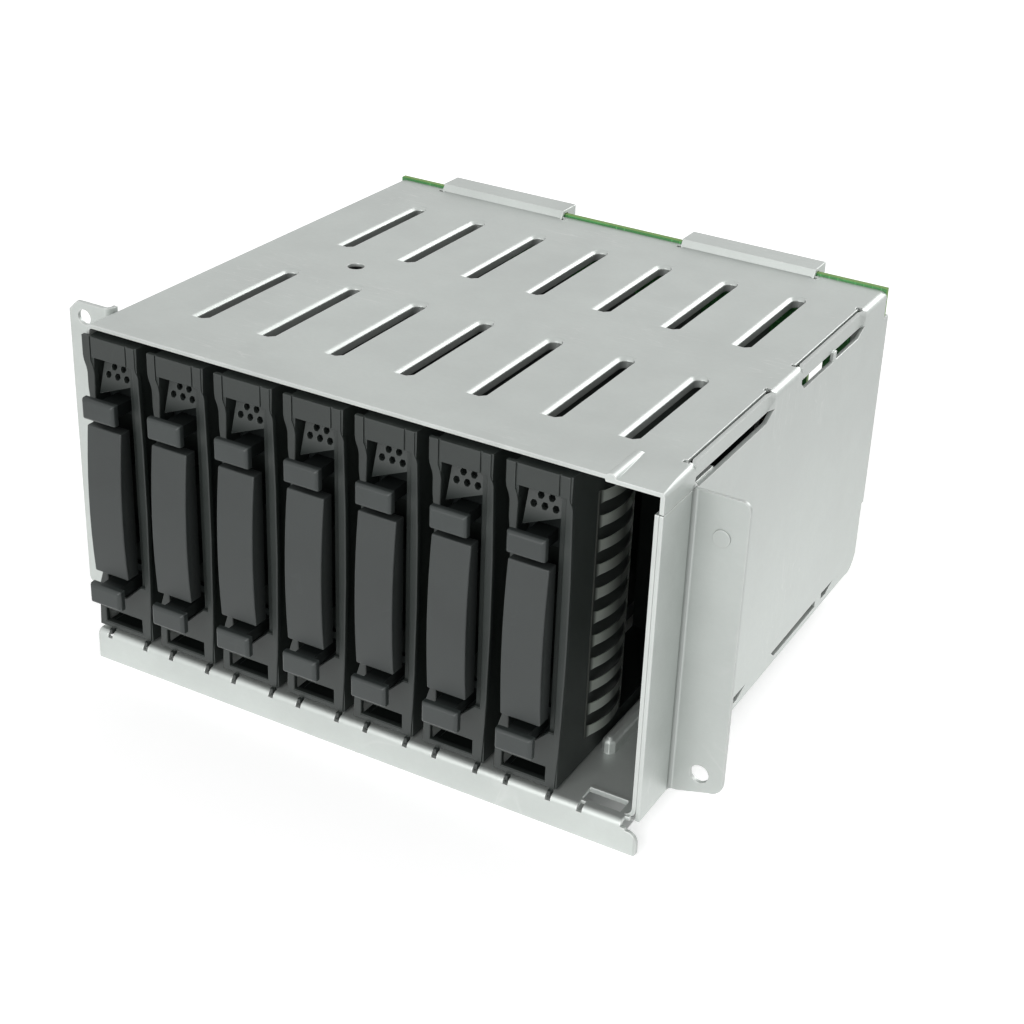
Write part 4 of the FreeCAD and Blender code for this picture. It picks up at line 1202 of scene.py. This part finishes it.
def add_chip_parts(rear):
    """Small ceramic parts: a pale body between two tinned ends."""
    bodies = []
    ends = []
    for bay, level, count in CERAMIC_ROWS:
        x = socket_x(bay) - CERAMIC_START
        z = level * MM
        body = add_block("part", (x, rear + 0.02 * MM, z - 0.5 * MM),
                         (x + 0.8 * MM, rear + 0.72 * MM, z + 0.5 * MM), CERAMIC_EDGE)
        bodies.append(repeat(body, count, (CERAMIC_PITCH, 0, 0)))
        for side in (-1, 1):
            middle = z + side * 0.72 * MM
            end = add_block("end", (x - 0.03 * MM, rear, middle - 0.24 * MM),
                            (x + 0.83 * MM, rear + 0.76 * MM, middle + 0.24 * MM), CERAMIC_EDGE)
            ends.append(repeat(end, count, (CERAMIC_PITCH, 0, 0)))
    finish_piece(join_all(bodies, "board_ceramics"), ceramic)
    finish_piece(join_all(ends, "board_ceramic_ends"), solder)


@operator
def sockets(scene):
    """Dress the drive, data and power sockets, and set their contacts"""
    for name, finish in (("drive_sockets", socket_plastic), ("data_sockets", socket_shield),
                         ("power_socket", socket_plastic)):
        dress(name, "housing", finish, 0.12 * MM)
    drive_contacts(scene.cage_board)
    data_contacts()
    power_pins()


def drive_contacts(look):
    """Bowed blades along both walls of each drive socket's slot."""
    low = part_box("drive_sockets")[0]
    front = low.y + 0.9 * MM
    blades = []
    for side in (-1, 1):
        wall = socket_x(0) + side * 0.8 * MM
        for start, count in BLADE_ROWS:
            z = low.z + start
            blade = add_block("blade", (wall, front, z),
                              (wall - side * 0.12 * MM, front + 4.4 * MM, z + 0.6 * MM))
            inset(blade, lambda face: face.normal.x * side < -FACING, 0.12 * MM, 0.14 * MM)
            blades.append(repeat(blade, count, (0, 0, look.contact_pitch)))
    made = repeat(join_all(blades, "drive_socket_contacts"), BAYS, (bay_pitch(), 0, 0))
    smooth(made)
    finish_piece(made, contact_gold)


def data_contacts():
    """Flat contacts on both faces of each data socket's tongue."""
    low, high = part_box("data_sockets")
    strips = []
    for side in (-1, 1):
        level = (low.z + high.z) / 2 + side * 0.45 * MM
        strip = add_block("strip", (low.x + 3.6 * MM, low.y + 3.0 * MM, level),
                          (low.x + 4.05 * MM, low.y + 8.6 * MM, level + side * 0.1 * MM))
        inset(strip, lambda face: face.normal.z * side > FACING, 0.1 * MM, 0.05 * MM)
        strips.append(repeat(strip, DATA_CONTACTS, (DATA_PITCH, 0, 0)))
    row = join_all(strips, "data_socket_contacts")
    repeat(row, 2, ((high.x - low.x) - DATA_SOCKET, 0, 0))
    smooth(row)
    finish_piece(row, contact_gold)


def power_pins():
    """Square pins with tapered tips, one in each cell of the power socket."""
    low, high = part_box("power_socket")
    x = (low.x + high.x) / 2 - (PIN_COUNT - 1) / 2 * PIN_PITCH
    z = (low.z + high.z) / 2 - PIN_ROWS / 2
    pin = add_block("power_socket_pins", (x - PIN_HALF, low.y + 1.9 * MM, z - PIN_HALF),
                    (x + PIN_HALF, high.y - 2.2 * MM, z + PIN_HALF))
    inset(pin, faces_rear, 0.2 * MM, 0.5 * MM)
    repeat(pin, PIN_COUNT, (PIN_PITCH, 0, 0))
    repeat(pin, 2, (0, 0, PIN_ROWS))
    smooth(pin)
    finish_piece(pin, contact_gold)


@operator
def screws(scene):
    """Dress the board's screws, each with a dished head"""
    piece = merged_copy("board_screws", "board_screws_plated")
    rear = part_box("board_screws")[1].y
    pick(piece, "FACE", lambda face: faces_rear(face) and abs(face.center.y - rear) < SAME_PLANE)
    bpy.ops.mesh.inset(thickness=0.75 * MM, use_individual=True)
    bpy.ops.mesh.inset(thickness=0.35 * MM, depth=-0.5 * MM, use_individual=True)
    done()
    round_edges(piece, 0.18 * MM)
    finish_piece(piece, screw_steel, "board_screws")


# ---- panel and registration ----
SETTINGS = {"cage_sheet": CageSheetSettings, "cage_blank": CageBlankSettings,
            "cage_spring": CageSpringSettings, "cage_board": CageBoardSettings,
            "cage_stage": CageStageSettings}


class CAGE_PT_panel(bpy.types.Panel):
    """Settings and steps of the drive cage"""
    bl_label = "Drive cage"
    bl_idname = "CAGE_PT_panel"
    bl_space_type = "VIEW_3D"
    bl_region_type = "UI"
    bl_category = "Drive cage"

    def draw(self, context):
        layout = self.layout
        for name, group in SETTINGS.items():
            box = layout.box()
            settings = getattr(context.scene, name)
            for key in group.__annotations__:
                box.prop(settings, key)
        for made in OPERATORS:
            layout.operator(made.bl_idname)


def register():
    for name, group in SETTINGS.items():
        bpy.utils.register_class(group)
        setattr(bpy.types.Scene, name, PointerProperty(type=group))
    for made in (*OPERATORS, CAGE_PT_panel):
        bpy.utils.register_class(made)


def unregister():
    for made in (CAGE_PT_panel, *reversed(OPERATORS)):
        bpy.utils.unregister_class(made)
    for name, group in SETTINGS.items():
        delattr(bpy.types.Scene, name)
        bpy.utils.unregister_class(group)


def main():
    register()
    bpy.ops.cage.stage()
    bpy.ops.cage.sheet_metal()
    bpy.ops.cage.blank_bodies()
    bpy.ops.cage.blank_grips()
    bpy.ops.cage.finger_tabs()
    bpy.ops.cage.spring_strips()
    bpy.ops.cage.backplane()
    bpy.ops.cage.sockets()
    bpy.ops.cage.screws()


if __name__ == "__main__":
    main()
